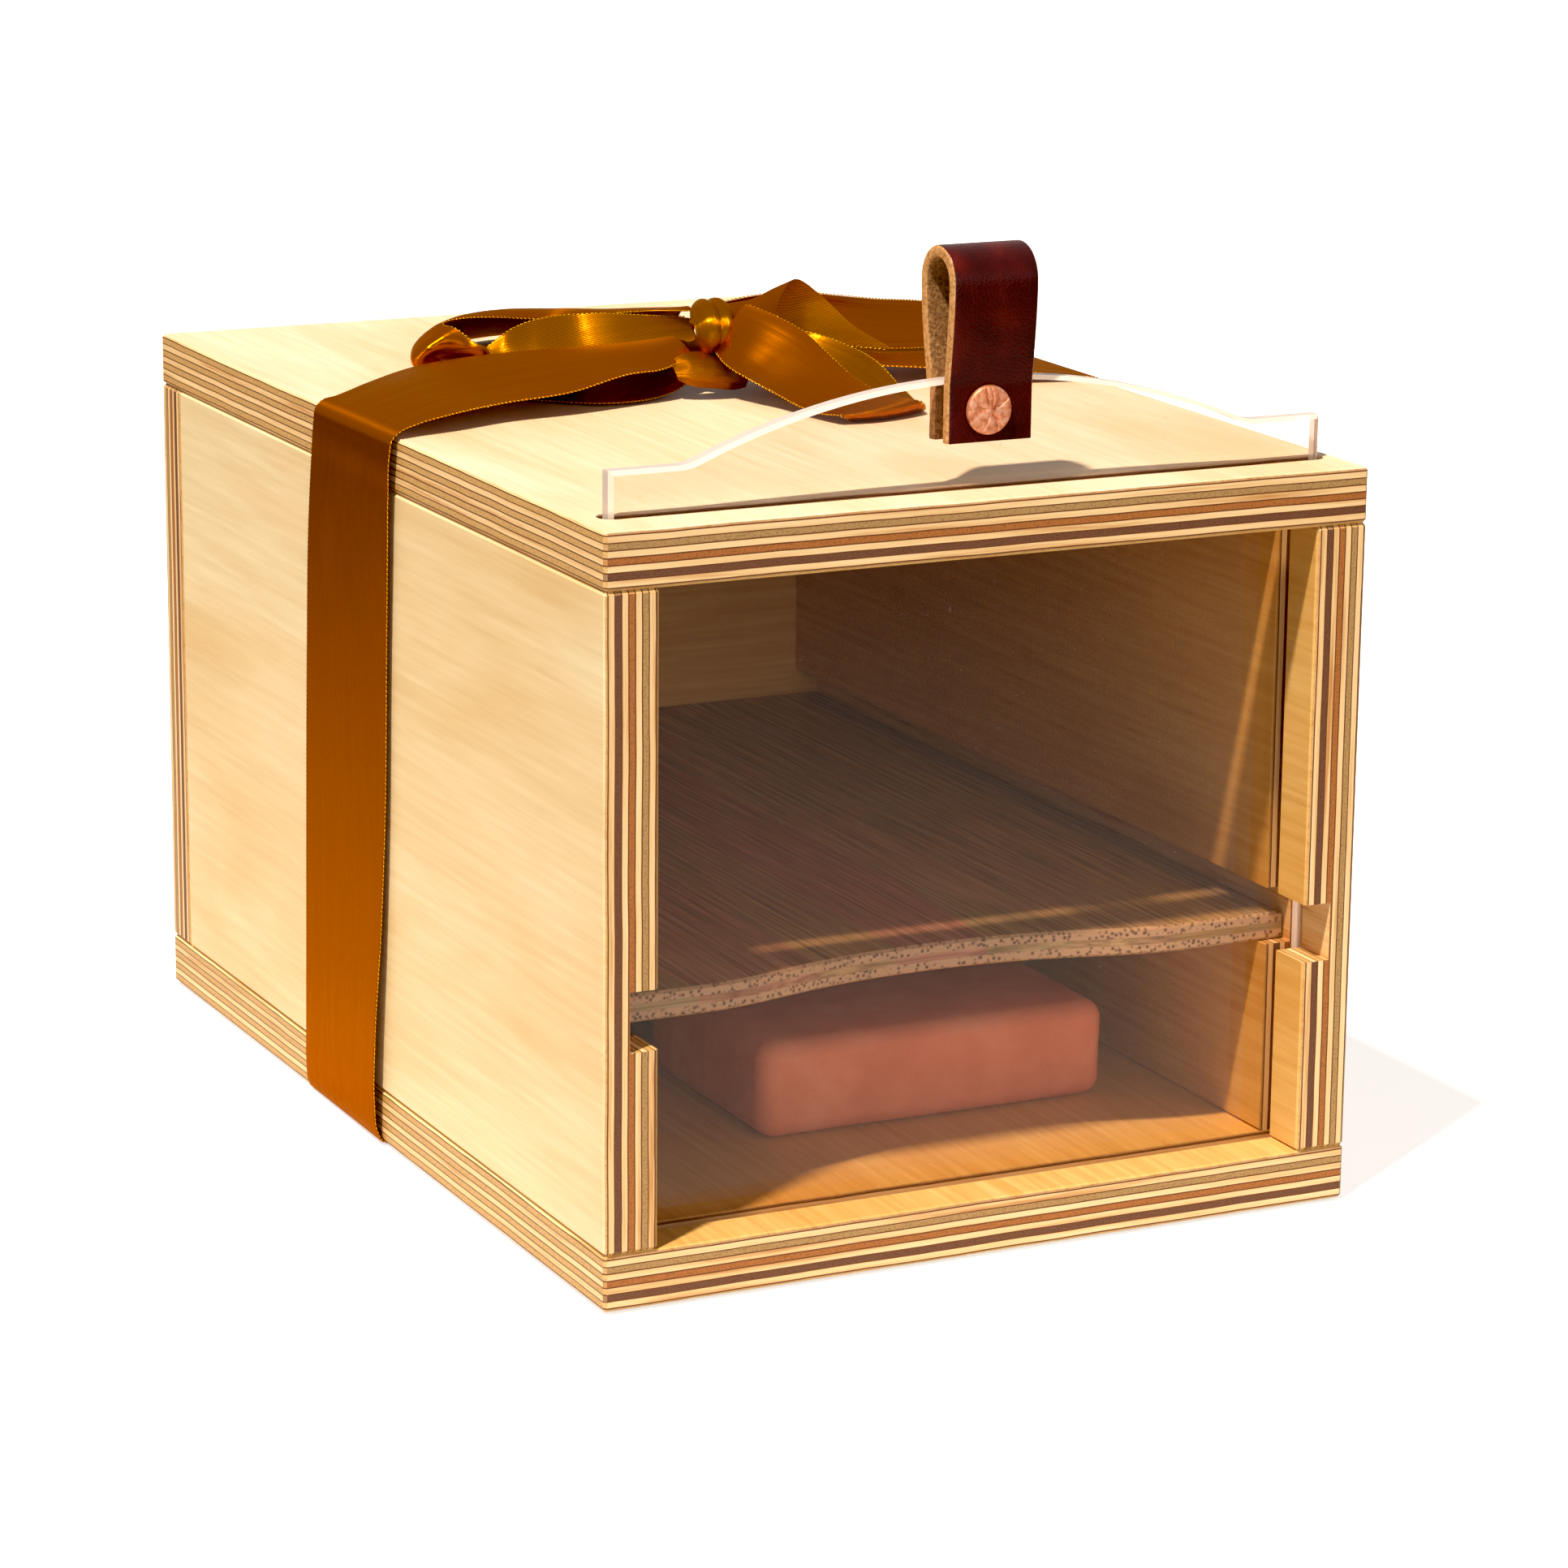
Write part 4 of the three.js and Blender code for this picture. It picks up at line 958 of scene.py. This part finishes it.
# Stations of the ribbon in millimetres. Each row goes across the ribbon, and the shining face is on
# the side that the cross product of the way along and the row points to.
RUN_LEFT = [
    [(-7, 16, 171), (-7.6, 13, 173.2), (-8, 9, 173.6), (-7.8, 5.5, 172.8), (-7, 3, 170.8)],
    [(-16, 23, 170), (-17, 18, 171.6), (-17, 11, 171.4), (-17, 4, 170.6), (-16, -2.6, 169.2)],
    [(-28, 31.4, 168.8), (-28, 24, 170.2), (-28, 13, 170), (-28, 3, 169.4), (-27, -6, 169)],
    [(-43, 35, 168), (-43, 26, 169.4), (-43, 14, 168.8), (-42.5, 1, 167.8), (-42, -10, 166.8)],
    [(-59, 35.5, 166.6), (-59, 25, 167.6), (-59, 12, 167.2), (-59, 0, 166.4), (-59, -12.6, 166)],
    [(-74, 29.3, 164.7), (-74, 18, 165.6), (-74, 6, 165.8), (-74, -6, 165.7), (-74, -18.3, 165.4)],
    [(-83, 25.8, 162.9), (-83, 14, 163.5), (-83, 2.5, 163.9), (-83, -9, 164.1), (-83, -20.6, 164.2)],
]
# The left side of the wrap: back edge and front edge, from the lid down to the base.
SIDE_LEFT = [
    ((-86.8, 24.9, 162.2), (-87, -21.9, 163.2)),
    ((-88.2, 24.9, 160.8), (-88.8, -22, 161.8)),
    ((-88.5, 25.3, 157.8), (-89.3, -21.4, 158.4)),
    ((-88.5, 27, 149.6), (-89.3, -20.3, 150)),
    ((-88.5, 29.3, 135), (-89.2, -19.4, 138)),
    ((-88.5, 31.5, 105), (-89, -17.6, 112)),
    ((-88.5, 33.3, 68), (-89, -15.9, 78)),
    ((-88.5, 34.6, 35), (-89.4, -13.3, 48)),
    ((-88.5, 35.4, 15), (-90, -10.8, 24)),
    ((-88.4, 35.8, 6), (-89.8, -9.7, 10)),
    ((-88, 35.8, 2), (-89, -9.4, 3.2)),
    ((-87.2, 36, 0.6), (-87.6, -9.3, 0.7)),
    ((-86, 36.6, 0.24), (-86, -9.2, 0.24)),
]
RUN_RIGHT = [
    [(83, 34, 163), (83, 22, 162.9), (83, 10, 162.7), (83, -1.5, 162.5), (83, -13.4, 162.4)],
    [(70, 33, 165.6), (70, 22, 165.4), (70, 11, 164.9), (70, 0, 164.4), (70, -11, 164)],
    [(52, 31, 166.8), (52, 21, 166.9), (52, 11.5, 166.6), (52, 2, 166), (52, -7, 165.4)],
    [(34, 26, 167.4), (34, 19, 168), (34, 12, 167.8), (34, 5.5, 167.2), (34, -1, 166.4)],
    [(18, 20, 168.6), (18, 16, 169.4), (18, 12, 169.4), (18, 8, 168.8), (18, 4, 167.6)],
    [(6, 16, 169.6), (6, 14, 170.6), (6, 12, 170.8), (6, 9.5, 170.2), (6, 7, 169)],
]
LOOP_LEFT = [
    [(-1, 21, 178), (-1.2, 19, 178.7), (-1.6, 17, 179.2), (-2, 14.5, 179.4), (-2.4, 12, 179.2)],
    [(9, 58, 164.5), (5, 53, 169.6), (0, 47, 173.4), (-4, 41, 175.4), (-7, 37, 175.4)],
    [(5, 84, 163.2), (-2, 76, 168), (-10, 67, 171.8), (-16.5, 59, 172.9), (-20, 55, 172)],
    [(-11, 91, 162.7), (-17, 81, 167.2), (-23.5, 70, 171.8), (-29, 60.5, 173.6), (-32, 55, 173.1)],
    [(-29, 86, 162.5), (-34, 76, 166.6), (-38.5, 66, 171), (-40.5, 57.5, 173.4), (-41.5, 53, 173.7)],
    [(-36, 64, 162.3), (-51, 56.6, 163.4), (-54.6, 51.5, 167.4), (-51, 50.6, 170.9),
     (-47.6, 49.9, 172.8)],
    [(-34, 50, 162.3), (-51, 46.8, 162.8), (-55.6, 45, 166.2), (-50, 44.3, 170.6), (-45.6, 46, 172.1)],
    [(-34, 50, 162.4), (-45, 50.4, 163.4), (-50, 48.5, 166.6), (-46.2, 43.6, 169.2),
     (-43.4, 43.1, 169.8)],
    [(-42.6, 43, 165.4), (-42.3, 41.7, 166.8), (-42, 40.3, 167.8), (-41.7, 38.8, 168.4),
     (-41.5, 37.2, 168.4)],
    [(-36.6, 42.4, 170.6), (-39.5, 37.7, 167.6), (-42.5, 32, 165), (-45, 26, 163.6), (-47, 20, 162.6)],
    [(-28, 43.6, 173.6), (-31, 35.4, 168.7), (-34, 25, 164.9), (-36.5, 14, 163.3), (-38, 2, 162.4)],
    [(-15.5, 41, 174.8), (-18, 31.4, 169.7), (-21, 19, 165.6), (-23.5, 7.5, 163.7), (-25, -3.5, 162.4)],
    [(-5.5, 30, 175.4), (-8, 23.4, 172), (-9.5, 15, 168.2), (-10.5, 8, 165.4), (-11, 2.5, 163.2)],
    [(-0.6, 18, 176.4), (-0.8, 15, 174), (-1, 12, 171.8), (-1.2, 9, 169.6), (-1.4, 6, 167.6)],
]
LOOP_RIGHT = [
    [(-2.6, 1, 172.5), (-1, -0.5, 175), (1.5, 0, 178), (4.4, 2, 180.2), (7.1, 4.6, 181)],
    [(-2.8, -6, 169.9), (0, -7.5, 173), (4, -6.6, 176), (8, -4.6, 178.2), (11.4, -1.6, 179)],
    [(-0.4, -13.4, 167.5), (3, -14.2, 170.4), (7.4, -13.4, 173.2), (11.6, -11.6, 175.2),
     (15, -8.8, 176.2)],
    [(2.6, -21.4, 165.2), (6.2, -22, 167.4), (10.2, -21.6, 169.4), (14, -20.2, 171), (17.4, -17.8, 171.8)],
    [(4.2, -28.8, 163.7), (8, -29.2, 165.2), (12, -28.8, 166.6), (16, -27.6, 167.8), (19.4, -25.4, 168.2)],
    [(5.6, -36, 163.2), (9.8, -36.6, 163.9), (14.4, -36.2, 164.7), (18.8, -34.8, 165.4),
     (22.8, -32.6, 165.8)],
    [(7.6, -42.4, 163.5), (12.8, -43.2, 163.7), (18.2, -42.6, 163.9), (23.6, -41, 164.1),
     (28.6, -38.8, 164.4)],
    [(10, -41, 162.2), (15.2, -41.4, 162.2), (20.8, -40.4, 162.2), (26.2, -38.2, 162.2), (31, -35.4, 162.3)],
    [(14, -33.4, 162.2), (19, -32.8, 162.2), (24, -31, 162.3), (28.6, -28.6, 162.7), (32.4, -25.4, 163.6)],
    [(14, -22.4, 162.6), (18.6, -21.4, 163), (23.2, -19.4, 164.2), (27.6, -17, 166.4), (31, -13.8, 169)],
    [(11.5, -11.5, 164), (15.6, -10.6, 165.6), (20, -9, 167.6), (24.4, -7.2, 169.8), (28, -5.2, 171.6)],
    [(8.8, -3, 167), (11.6, -2, 168.8), (15, -0.8, 170.8), (18.6, 0.4, 172.6), (21.6, 2, 174)],
    [(4, 4, 170.6), (5, 4.6, 172), (6, 5.2, 173.2), (7, 5.8, 174.4), (8, 6.4, 175.4)],
]
TAIL_SHORT = [
    [(3, 4.6, 176.4), (3.4, 6, 179.4), (4, 8.6, 180.6), (5, 11, 178.6), (6, 12, 175.6), (7.2, 12, 172.6)],
    [(8.6, 3.6, 176.2), (9.2, 5.6, 179.6), (11, 9, 181.3), (13.6, 12, 178.6), (16, 13, 174.8),
     (18.6, 12.4, 171)],
    [(12, 4.6, 177), (13.2, 6.6, 181), (16.6, 9.6, 183.2), (21, 12.4, 179.8), (25.6, 12.2, 174.8),
     (31, 10, 169.8)],
    [(14.8, 5.6, 178.2), (17.4, 7.4, 182.2), (22.6, 10, 185), (29.6, 11, 180.4), (36.4, 9, 173.8),
     (44.6, 5, 168.4)],
]
TAIL_LONG = [
    [(5, 14, 173.6), (5, 14.6, 175.2), (5, 15.2, 176.8), (5, 15.8, 178.2), (5, 16, 179.6)],
    [(19, 14.6, 170.8), (19, 15.6, 173.2), (19, 16.4, 175.8), (19, 16.8, 178.4), (19, 16.8, 180.8)],
    [(31, 13, 169.1), (31.4, 14.8, 171.6), (31.8, 16.2, 174.4), (32, 16.8, 177.4), (32, 16.4, 180)],
    [(46, 9.6, 167.9), (46.4, 12.6, 169.6), (46.8, 15.4, 172), (47, 17.6, 174.8), (47, 19.2, 177.6)],
    [(62, 13, 166.9), (62.4, 16.4, 168.2), (62.8, 19.6, 170), (63, 22.6, 172.6), (63, 25, 175.2)],
    [(74, 18, 166.6), (74.2, 21, 167.4), (74.4, 24, 168.8), (74.6, 27, 170.6), (74.6, 29.4, 172.4)],
]
CROSSING = [
    [(-14, 1, 169.6), (-13.6, -1.4, 168.8), (-13, -2.2, 167.4), (-12.4, -1.6, 166.2)],
    [(-9, 1.4, 171.4), (-9.6, -2.2, 170), (-9.8, -4.2, 167.4), (-9.4, -2.6, 164.8)],
    [(-4, 1.4, 171.2), (-4.4, -3, 169.4), (-4.6, -5.2, 166.6), (-4, -3.2, 164)],
    [(0.6, 1, 169.4), (0.6, -3, 168), (0.8, -5, 165.8), (1, -3, 163.4)],
    [(3.4, 1, 167.2), (3.6, -2, 166.6), (3.8, -3.4, 165.2), (4, -2, 163.6)],
]


class Hold(Enum):
    """How a stretch of ribbon is held."""

    STRETCHED = "stretched"
    FOLDED = "folded"
    GATHERED = "gathered"


@dataclass(frozen=True)
class Stretch:
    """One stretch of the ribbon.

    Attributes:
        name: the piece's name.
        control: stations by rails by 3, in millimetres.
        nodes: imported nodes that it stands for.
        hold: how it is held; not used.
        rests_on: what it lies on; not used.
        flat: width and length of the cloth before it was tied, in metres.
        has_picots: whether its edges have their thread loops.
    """

    name: str
    control: list
    nodes: list[str]
    hold: Hold
    rests_on: list[str]
    flat: tuple[float, float]
    has_picots: bool = True


@dataclass
class RibbonAndBow:
    """Satin ribbon round the box, tied in a bow on the lid."""

    width: float = 48.0 * MM
    thick: float = 0.35 * MM
    picot_pitch: float = 1.05 * MM
    picot_reach: float = 0.42 * MM
    thread: float = 0.15 * MM
    step: float = 1.2 * MM
    across: int = 25

    def __post_init__(self) -> None:
        """Makes the ribbon's finishes once for all its stretches."""
        self.cloth = [SatinRibbon(weave).material() for weave in (Weave.FACE, Weave.REVERSE)]
        self.edging = SatinRibbon(Weave.PICOT).material()

    def lay(self, stretch: Stretch) -> list[bpy.types.Object]:
        """Makes one stretch of ribbon: a lofted sheet with two sides, thin edges and picot loops.

        Args:
            stretch: what to make.

        Returns:
            The sheet and its edging.
        """
        grid = np.array(stretch.control, dtype=float) * MM
        rough = loft(grid, 400, self.across)
        length = np.linalg.norm(np.diff(rough[:, self.across // 2], axis=0), axis=1).sum()
        along = max(8, int(length / self.step))
        sheet = loft(grid, along, self.across)
        normal = surface_normals(sheet)
        upper, lower = sheet + normal * self.thick / 2, sheet - normal * self.thick / 2
        count = along * self.across
        top = grid_faces(along, self.across)
        under = grid_faces(along, self.across, count)[:, ::-1]
        number = np.arange(count).reshape(along, self.across)
        rim = np.concatenate([
            np.stack([edge[:-1], edge[:-1] + count, edge[1:] + count, edge[1:]], -1)
            for edge in (number[:, 0], number[::-1, -1], number[0, ::-1], number[-1, :])])
        faces = np.concatenate([top, under, rim])
        slots = np.concatenate([np.zeros(len(top)), np.ones(len(under)), np.zeros(len(rim))])
        u, v = np.linspace(0, length, along), np.linspace(0, self.width, self.across)
        uv = np.stack(np.meshgrid(u, v, indexing="ij"), -1).reshape(-1, 2)
        piece = make_piece(stretch.name, np.concatenate([upper.reshape(-1, 3), lower.reshape(-1, 3)]),
                           faces, self.cloth, slots, np.concatenate([uv, uv]))
        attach(piece, "box")
        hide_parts(*stretch.nodes)
        made = [piece]
        if stretch.has_picots:
            made.append(self.picots(f"{stretch.name}_picots", sheet, normal))
        cell = np.cross(sheet[1:, 1:] - sheet[:-1, :-1], sheet[1:, :-1] - sheet[:-1, 1:])
        share = np.linalg.norm(cell, axis=2).sum() / 2 / (stretch.flat[0] * stretch.flat[1])
        LOG.info("%s: %.0f mm along, %d faces, %.2f of its flat area", stretch.name, length / MM,
                 len(faces), share)
        return made

    def picots(self, name: str, sheet: np.ndarray, normal: np.ndarray) -> bpy.types.Object:
        """Thread loops along both edges of a sheet.

        Each loop is half an ellipse in the plane of the ribbon, out from the edge and back, with a
        four-sided thread carried along it.

        Args:
            name: the piece's name.
            sheet: the ribbon's middle surface.
            normal: its normals.

        Returns:
            The edging.
        """
        bend = np.linspace(0, np.pi, 7)
        ring = np.arange(4) * np.pi / 2 + np.pi / 4
        half = self.picot_pitch * 0.34
        root = 0.1 * MM
        cos, sin = np.cos(bend)[None, :, None], np.sin(bend)[None, :, None]
        blocks = []
        for column, inner in ((0, 1), (-1, -2)):
            edge = sheet[:, column]
            travel = np.concatenate([[0], np.cumsum(np.linalg.norm(np.diff(edge, axis=0), axis=1))])
            stations = np.arange(self.picot_pitch, travel[-1] - self.picot_pitch, self.picot_pitch)
            centre, outward, up = (
                np.stack([np.interp(stations, travel, field[:, k]) for k in range(3)], -1)
                for field in (edge, edge - sheet[:, inner], normal[:, column]))
            outward /= np.linalg.norm(outward, axis=1, keepdims=True)
            forward = np.cross(up, outward)
            forward /= np.linalg.norm(forward, axis=1, keepdims=True)
            line = (centre[:, None] - root * outward[:, None] + cos * half * forward[:, None]
                    + sin * self.picot_reach * outward[:, None])
            side = cos * forward[:, None] + sin * outward[:, None]
            around = (np.cos(ring)[None, None, :, None] * side[:, :, None]
                      + np.sin(ring)[None, None, :, None] * up[:, None, None])
            blocks.append(line[:, :, None] + around * self.thread)
        loops = np.concatenate(blocks)
        points = loops.reshape(-1, 3)
        number = np.arange(len(points)).reshape(loops.shape[:3])
        following = np.roll(number, -1, axis=2)
        quads = np.stack([number[:, :-1], following[:, :-1], following[:, 1:], number[:, 1:]],
                         -1).reshape(-1, 4)
        faces = np.concatenate([quads, number[:, 0, ::-1], number[:, -1]])
        # The faces are turned round if they look into the thread.
        corner = points[quads]
        turn = np.cross(corner[:, 1] - corner[:, 0], corner[:, 2] - corner[:, 0])
        out = (loops - loops.mean(axis=2, keepdims=True)).reshape(-1, 3)[quads[:, 0]]
        if (turn * out).sum() < 0:
            faces = faces[:, ::-1]
        piece = make_piece(name, points, faces, [self.edging], crease=180.0)
        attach(piece, "box")
        return piece

    def wrap_control(self) -> list:
        """Stations of the ribbon from the knot, down the left, under the box and up to the knot.

        Returns:
            Rows of points across the ribbon, in millimetres.
        """
        side, lid, low, front = 88.05, 161.85, 0.24, -14
        share = np.linspace(0, 1, 5)[:, None]
        rows = list(RUN_LEFT)
        rows += [np.array(back) + (np.array(fore) - np.array(back)) * share for back, fore in SIDE_LEFT]
        across = np.linspace(self.width / MM, 0, 5)
        # Places under the box and up its right side, each with its lean to the back.
        places = [(x, low, 5) for x in (-84, -80, -50, 0, 50, 80, 84, 86.5)]
        places += [(87.7, low + 0.2, 5), (side, 1.6, 5), (side, 12, 4.7), (side, 60, 3.2),
                   (side, 110, 1.6), (side, 150, 0.3), (side, 160.6, 0), (87.8, lid - 0.15, 0),
                   (86.6, lid + 0.25, 0)]
        rows += [[(x, front + lean + y, z) for y in across] for x, z, lean in places]
        return rows + RUN_RIGHT

    def knot_control(self) -> list:
        """Stations of the knot: a narrow gathered band over the front and top of the ties.

        Returns:
            Rows of points across the band, in millimetres.
        """
        ring = [(14.5, 170.6), (8, 168.8), (2, 170.6), (-1.6, 174.4), (0, 178.6), (5, 181.2),
                (11, 181.4), (16.4, 178.6), (18, 174)]
        heart = np.array([8.5, 175.0])
        middle = np.linspace(-4.6, 2.4, len(ring))
        half = (3.4, 3.6, 3.4, 3.8, 4.6, 5.2, 5, 4.4, 4)
        sag = (-4.6, -1.0, 0.3, -0.2, 0.4, -0.6, -3.4)
        rows = []
        for (y, z), x, wide in zip(ring, middle, half):
            away = np.array([y, z]) - heart
            away /= np.linalg.norm(away)
            rows.append([(x + wide * s, y + away[0] * d, z + away[1] * d)
                         for s, d in zip(np.linspace(-1, 1, len(sag)), sag)])
        return rows

    def dress(self) -> list[bpy.types.Object]:
        """Makes the wrap, the loops, the tails, the knot and the crossing.

        Returns:
            The pieces.
        """
        stretches = (
            Stretch("ribbon_wrap", self.wrap_control(),
                    ["ribbon_lid_left", "ribbon_side_left", "ribbon_under", "ribbon_side_right",
                     "ribbon_lid_right"],
                    Hold.STRETCHED, ["left_side", "right_side", "top_panel"], (self.width, 0.66)),
            Stretch("bow_left_loop", LOOP_LEFT, ["bow_loop_left"], Hold.FOLDED, ["top_panel"],
                    (self.width, 0.13)),
            Stretch("bow_right_loop", LOOP_RIGHT, ["bow_loop_right"], Hold.FOLDED, ["top_panel"],
                    (0.020, 0.105)),
            Stretch("bow_short_tail", TAIL_SHORT, ["bow_tail_up"], Hold.GATHERED, ["bow_knot"],
                    (0.024, 0.022)),
            Stretch("bow_long_tail", TAIL_LONG, ["bow_tail_back"], Hold.GATHERED, ["bow_knot"],
                    (0.0145, 0.072)),
            Stretch("bow_knot_band", self.knot_control(), ["bow_knot"], Hold.GATHERED, ["top_panel"],
                    (0.012, 0.045), has_picots=False),
            Stretch("ribbon_crossing_fold", CROSSING, ["ribbon_crossing"], Hold.GATHERED,
                    ["top_panel"], (0.012, 0.02), has_picots=False),
        )
        return [piece for stretch in stretches for piece in self.lay(stretch)]


@dataclass
class Studio:
    """White sweep, one high sun-like key from the left, a soft card in front, and the viewpoint."""

    eye: tuple[float, float, float] = (-0.483286, -1.018699, 0.359346)
    yaw: float = math.radians(26.0901)
    pitch: float = math.radians(14.3050)
    roll: float = math.radians(0.5445)
    lens: float = 117.017
    sun_travel: tuple[float, float, float] = (0.391, 0.239, -0.889)
    sun_energy: float = 6.0
    sun_angle: float = math.radians(3.0)
    card_place: tuple[float, float, float] = (-0.1, -1.5, 0.35)
    card_energy: float = 7.0
    card_size: float = 0.9
    # Strength of the room as light, in mirror images and as seen behind the box.
    room_light: float = 0.26
    room_mirrored: float = 0.6
    room_seen: float = 1.18
    # Light levels that come out as black and as white.
    black: float = 0.014
    white: float = 1.15
    # The floor throws light back from a pool, bright within one radius and dim beyond the other.
    pool_radii: tuple[float, float] = (0.12, 0.85)
    pool_levels: tuple[float, float] = (0.7, 0.08)
    floor_seen: float = 0.87
    floor_glow: float = 0.8
    floor_half: float = 6.0
    floor_top: float = -0.2 * MM

    def camera(self) -> None:
        """Sets the camera from its fitted place, turn and lens."""
        forward = np.array([math.sin(self.yaw) * math.cos(self.pitch),
                            math.cos(self.yaw) * math.cos(self.pitch), -math.sin(self.pitch)])
        level = np.array([math.cos(self.yaw), -math.sin(self.yaw), 0.0])
        upright = np.cross(level, forward)
        right = level * math.cos(self.roll) + upright * math.sin(self.roll)
        up = upright * math.cos(self.roll) - level * math.sin(self.roll)
        data = bpy.data.cameras.new("viewpoint")
        data.lens = self.lens
        data.sensor_width = 36.0
        data.clip_end = 20.0
        view = bpy.data.objects.new("viewpoint", data)
        matrix = np.eye(4)
        matrix[:3] = np.column_stack([right, up, -forward, self.eye])
        view.matrix_world = Matrix(matrix.tolist())
        bpy.context.scene.collection.objects.link(view)
        bpy.context.scene.camera = view

    def lamp(self, name: str, kind: str, energy: float, travel: Vector) -> bpy.types.Object:
        """Adds a lamp at the origin.

        Args:
            name: the lamp's name.
            kind: its type.
            energy: its strength.
            travel: the way that its light goes.

        Returns:
            The lamp.
        """
        data = bpy.data.lights.new(name, kind)
        data.energy = energy
        lamp = bpy.data.objects.new(name, data)
        lamp.rotation_euler = travel.to_track_quat("-Z", "Y").to_euler()
        bpy.context.scene.collection.objects.link(lamp)
        return lamp

    def seen_straight(self, tree: bpy.types.NodeTree, ray: bpy.types.Node) -> bpy.types.NodeSocket:
        """Tells a plain look, also one through the clear panel, from light and mirror images.

        Args:
            tree: node tree to add to.
            ray: its Light Path node.

        Returns:
            A socket that is 1 for a plain look.
        """
        unmirrored = add_node(tree, "ShaderNodeMath", {0: ray.outputs["Glossy Depth"], 1: 0.5},
                              operation="LESS_THAN")
        through = add_node(tree, "ShaderNodeMath", {0: ray.outputs["Is Transmission Ray"],
                                                    1: unmirrored.outputs[0]}, operation="MULTIPLY")
        return add_node(tree, "ShaderNodeMath", {0: ray.outputs["Is Camera Ray"],
                                                 1: through.outputs[0]},
                        operation="MAXIMUM").outputs[0]

    def light(self) -> None:
        """Sets the key, the soft card and the pale room."""
        key = self.lamp("key", "SUN", self.sun_energy, Vector(self.sun_travel))
        key.data.angle = self.sun_angle
        key.data.color = linear("#fff4e2")[:3]
        card = self.lamp("front_fill", "AREA", self.card_energy, -Vector(self.card_place))
        card.data.size = self.card_size
        card.location = self.card_place
        world = bpy.data.worlds.new("white_room")
        world.use_nodes = True
        tree = world.node_tree
        tree.nodes.clear()
        ray = add_node(tree, "ShaderNodeLightPath")
        unseen = add_node(tree, "ShaderNodeMapRange", {"Value": ray.outputs["Is Glossy Ray"],
                                                       "To Min": self.room_light,
                                                       "To Max": self.room_mirrored})
        strength = add_node(tree, "ShaderNodeMapRange", {"Value": self.seen_straight(tree, ray),
                                                         "To Min": unseen.outputs[0],
                                                         "To Max": self.room_seen})
        sky = add_node(tree, "ShaderNodeBackground", {"Color": linear("#ffffff"),
                                                      "Strength": strength.outputs[0]})
        add_node(tree, "ShaderNodeOutputWorld", {"Surface": sky.outputs[0]})
        bpy.context.scene.world = world

    def tone(self) -> None:
        """Sets plain tones, with the photo's black and white points."""
        settings = bpy.context.scene.view_settings
        settings.view_transform = "Standard"
        settings.use_curve_mapping = True
        settings.curve_mapping.black_level = (self.black, self.black, self.black)
        settings.curve_mapping.white_level = (self.white, self.white, self.white)
        settings.curve_mapping.update()

    def floor(self) -> None:
        """Lays a wide white floor that throws light back only from a pool round the box."""
        span = np.linspace(-self.floor_half, self.floor_half, 5)
        x, y = np.meshgrid(span, span, indexing="ij")
        points = np.stack([x, y, np.full_like(x, self.floor_top)], -1).reshape(-1, 3)
        coat = Coat("white_sweep")
        tree = coat.tree
        away = add_node(tree, "ShaderNodeVectorMath", {0: coat.place["Object"]}, operation="LENGTH")
        (near, far), (bright, dim) = self.pool_radii, self.pool_levels
        pool = add_node(tree, "ShaderNodeMapRange", {"Value": away.outputs["Value"],
                                                     "From Min": near, "From Max": far,
                                                     "To Min": bright, "To Max": dim})
        seen = self.seen_straight(tree, add_node(tree, "ShaderNodeLightPath"))
        colour, glow = (
            add_node(tree, "ShaderNodeMapRange", {"Value": seen, "To Min": low, "To Max": high})
            for low, high in ((pool.outputs[0], self.floor_seen), (0.0, self.floor_glow)))
        material = coat.finish({"Base Color": colour.outputs[0], "Emission Strength": glow.outputs[0]},
                               Emission_Color=linear("#fffaf6"), Roughness=0.9)
        piece = make_piece("studio_floor", points, grid_faces(len(span), len(span)), [material])


def main() -> None:
    """Builds every sub-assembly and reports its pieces."""
    logging.basicConfig(level=logging.INFO)
    studio = Studio()
    studio.camera()
    studio.light()
    studio.tone()
    studio.floor()
    for part in (Carcass(), LiftOutFront(), ShelfAndBrick(), RibbonAndBow()):
        for piece in part.dress():
            LOG.info("%s: %s", type(part).__name__, piece.name)


if __name__ == "__main__":
    main()
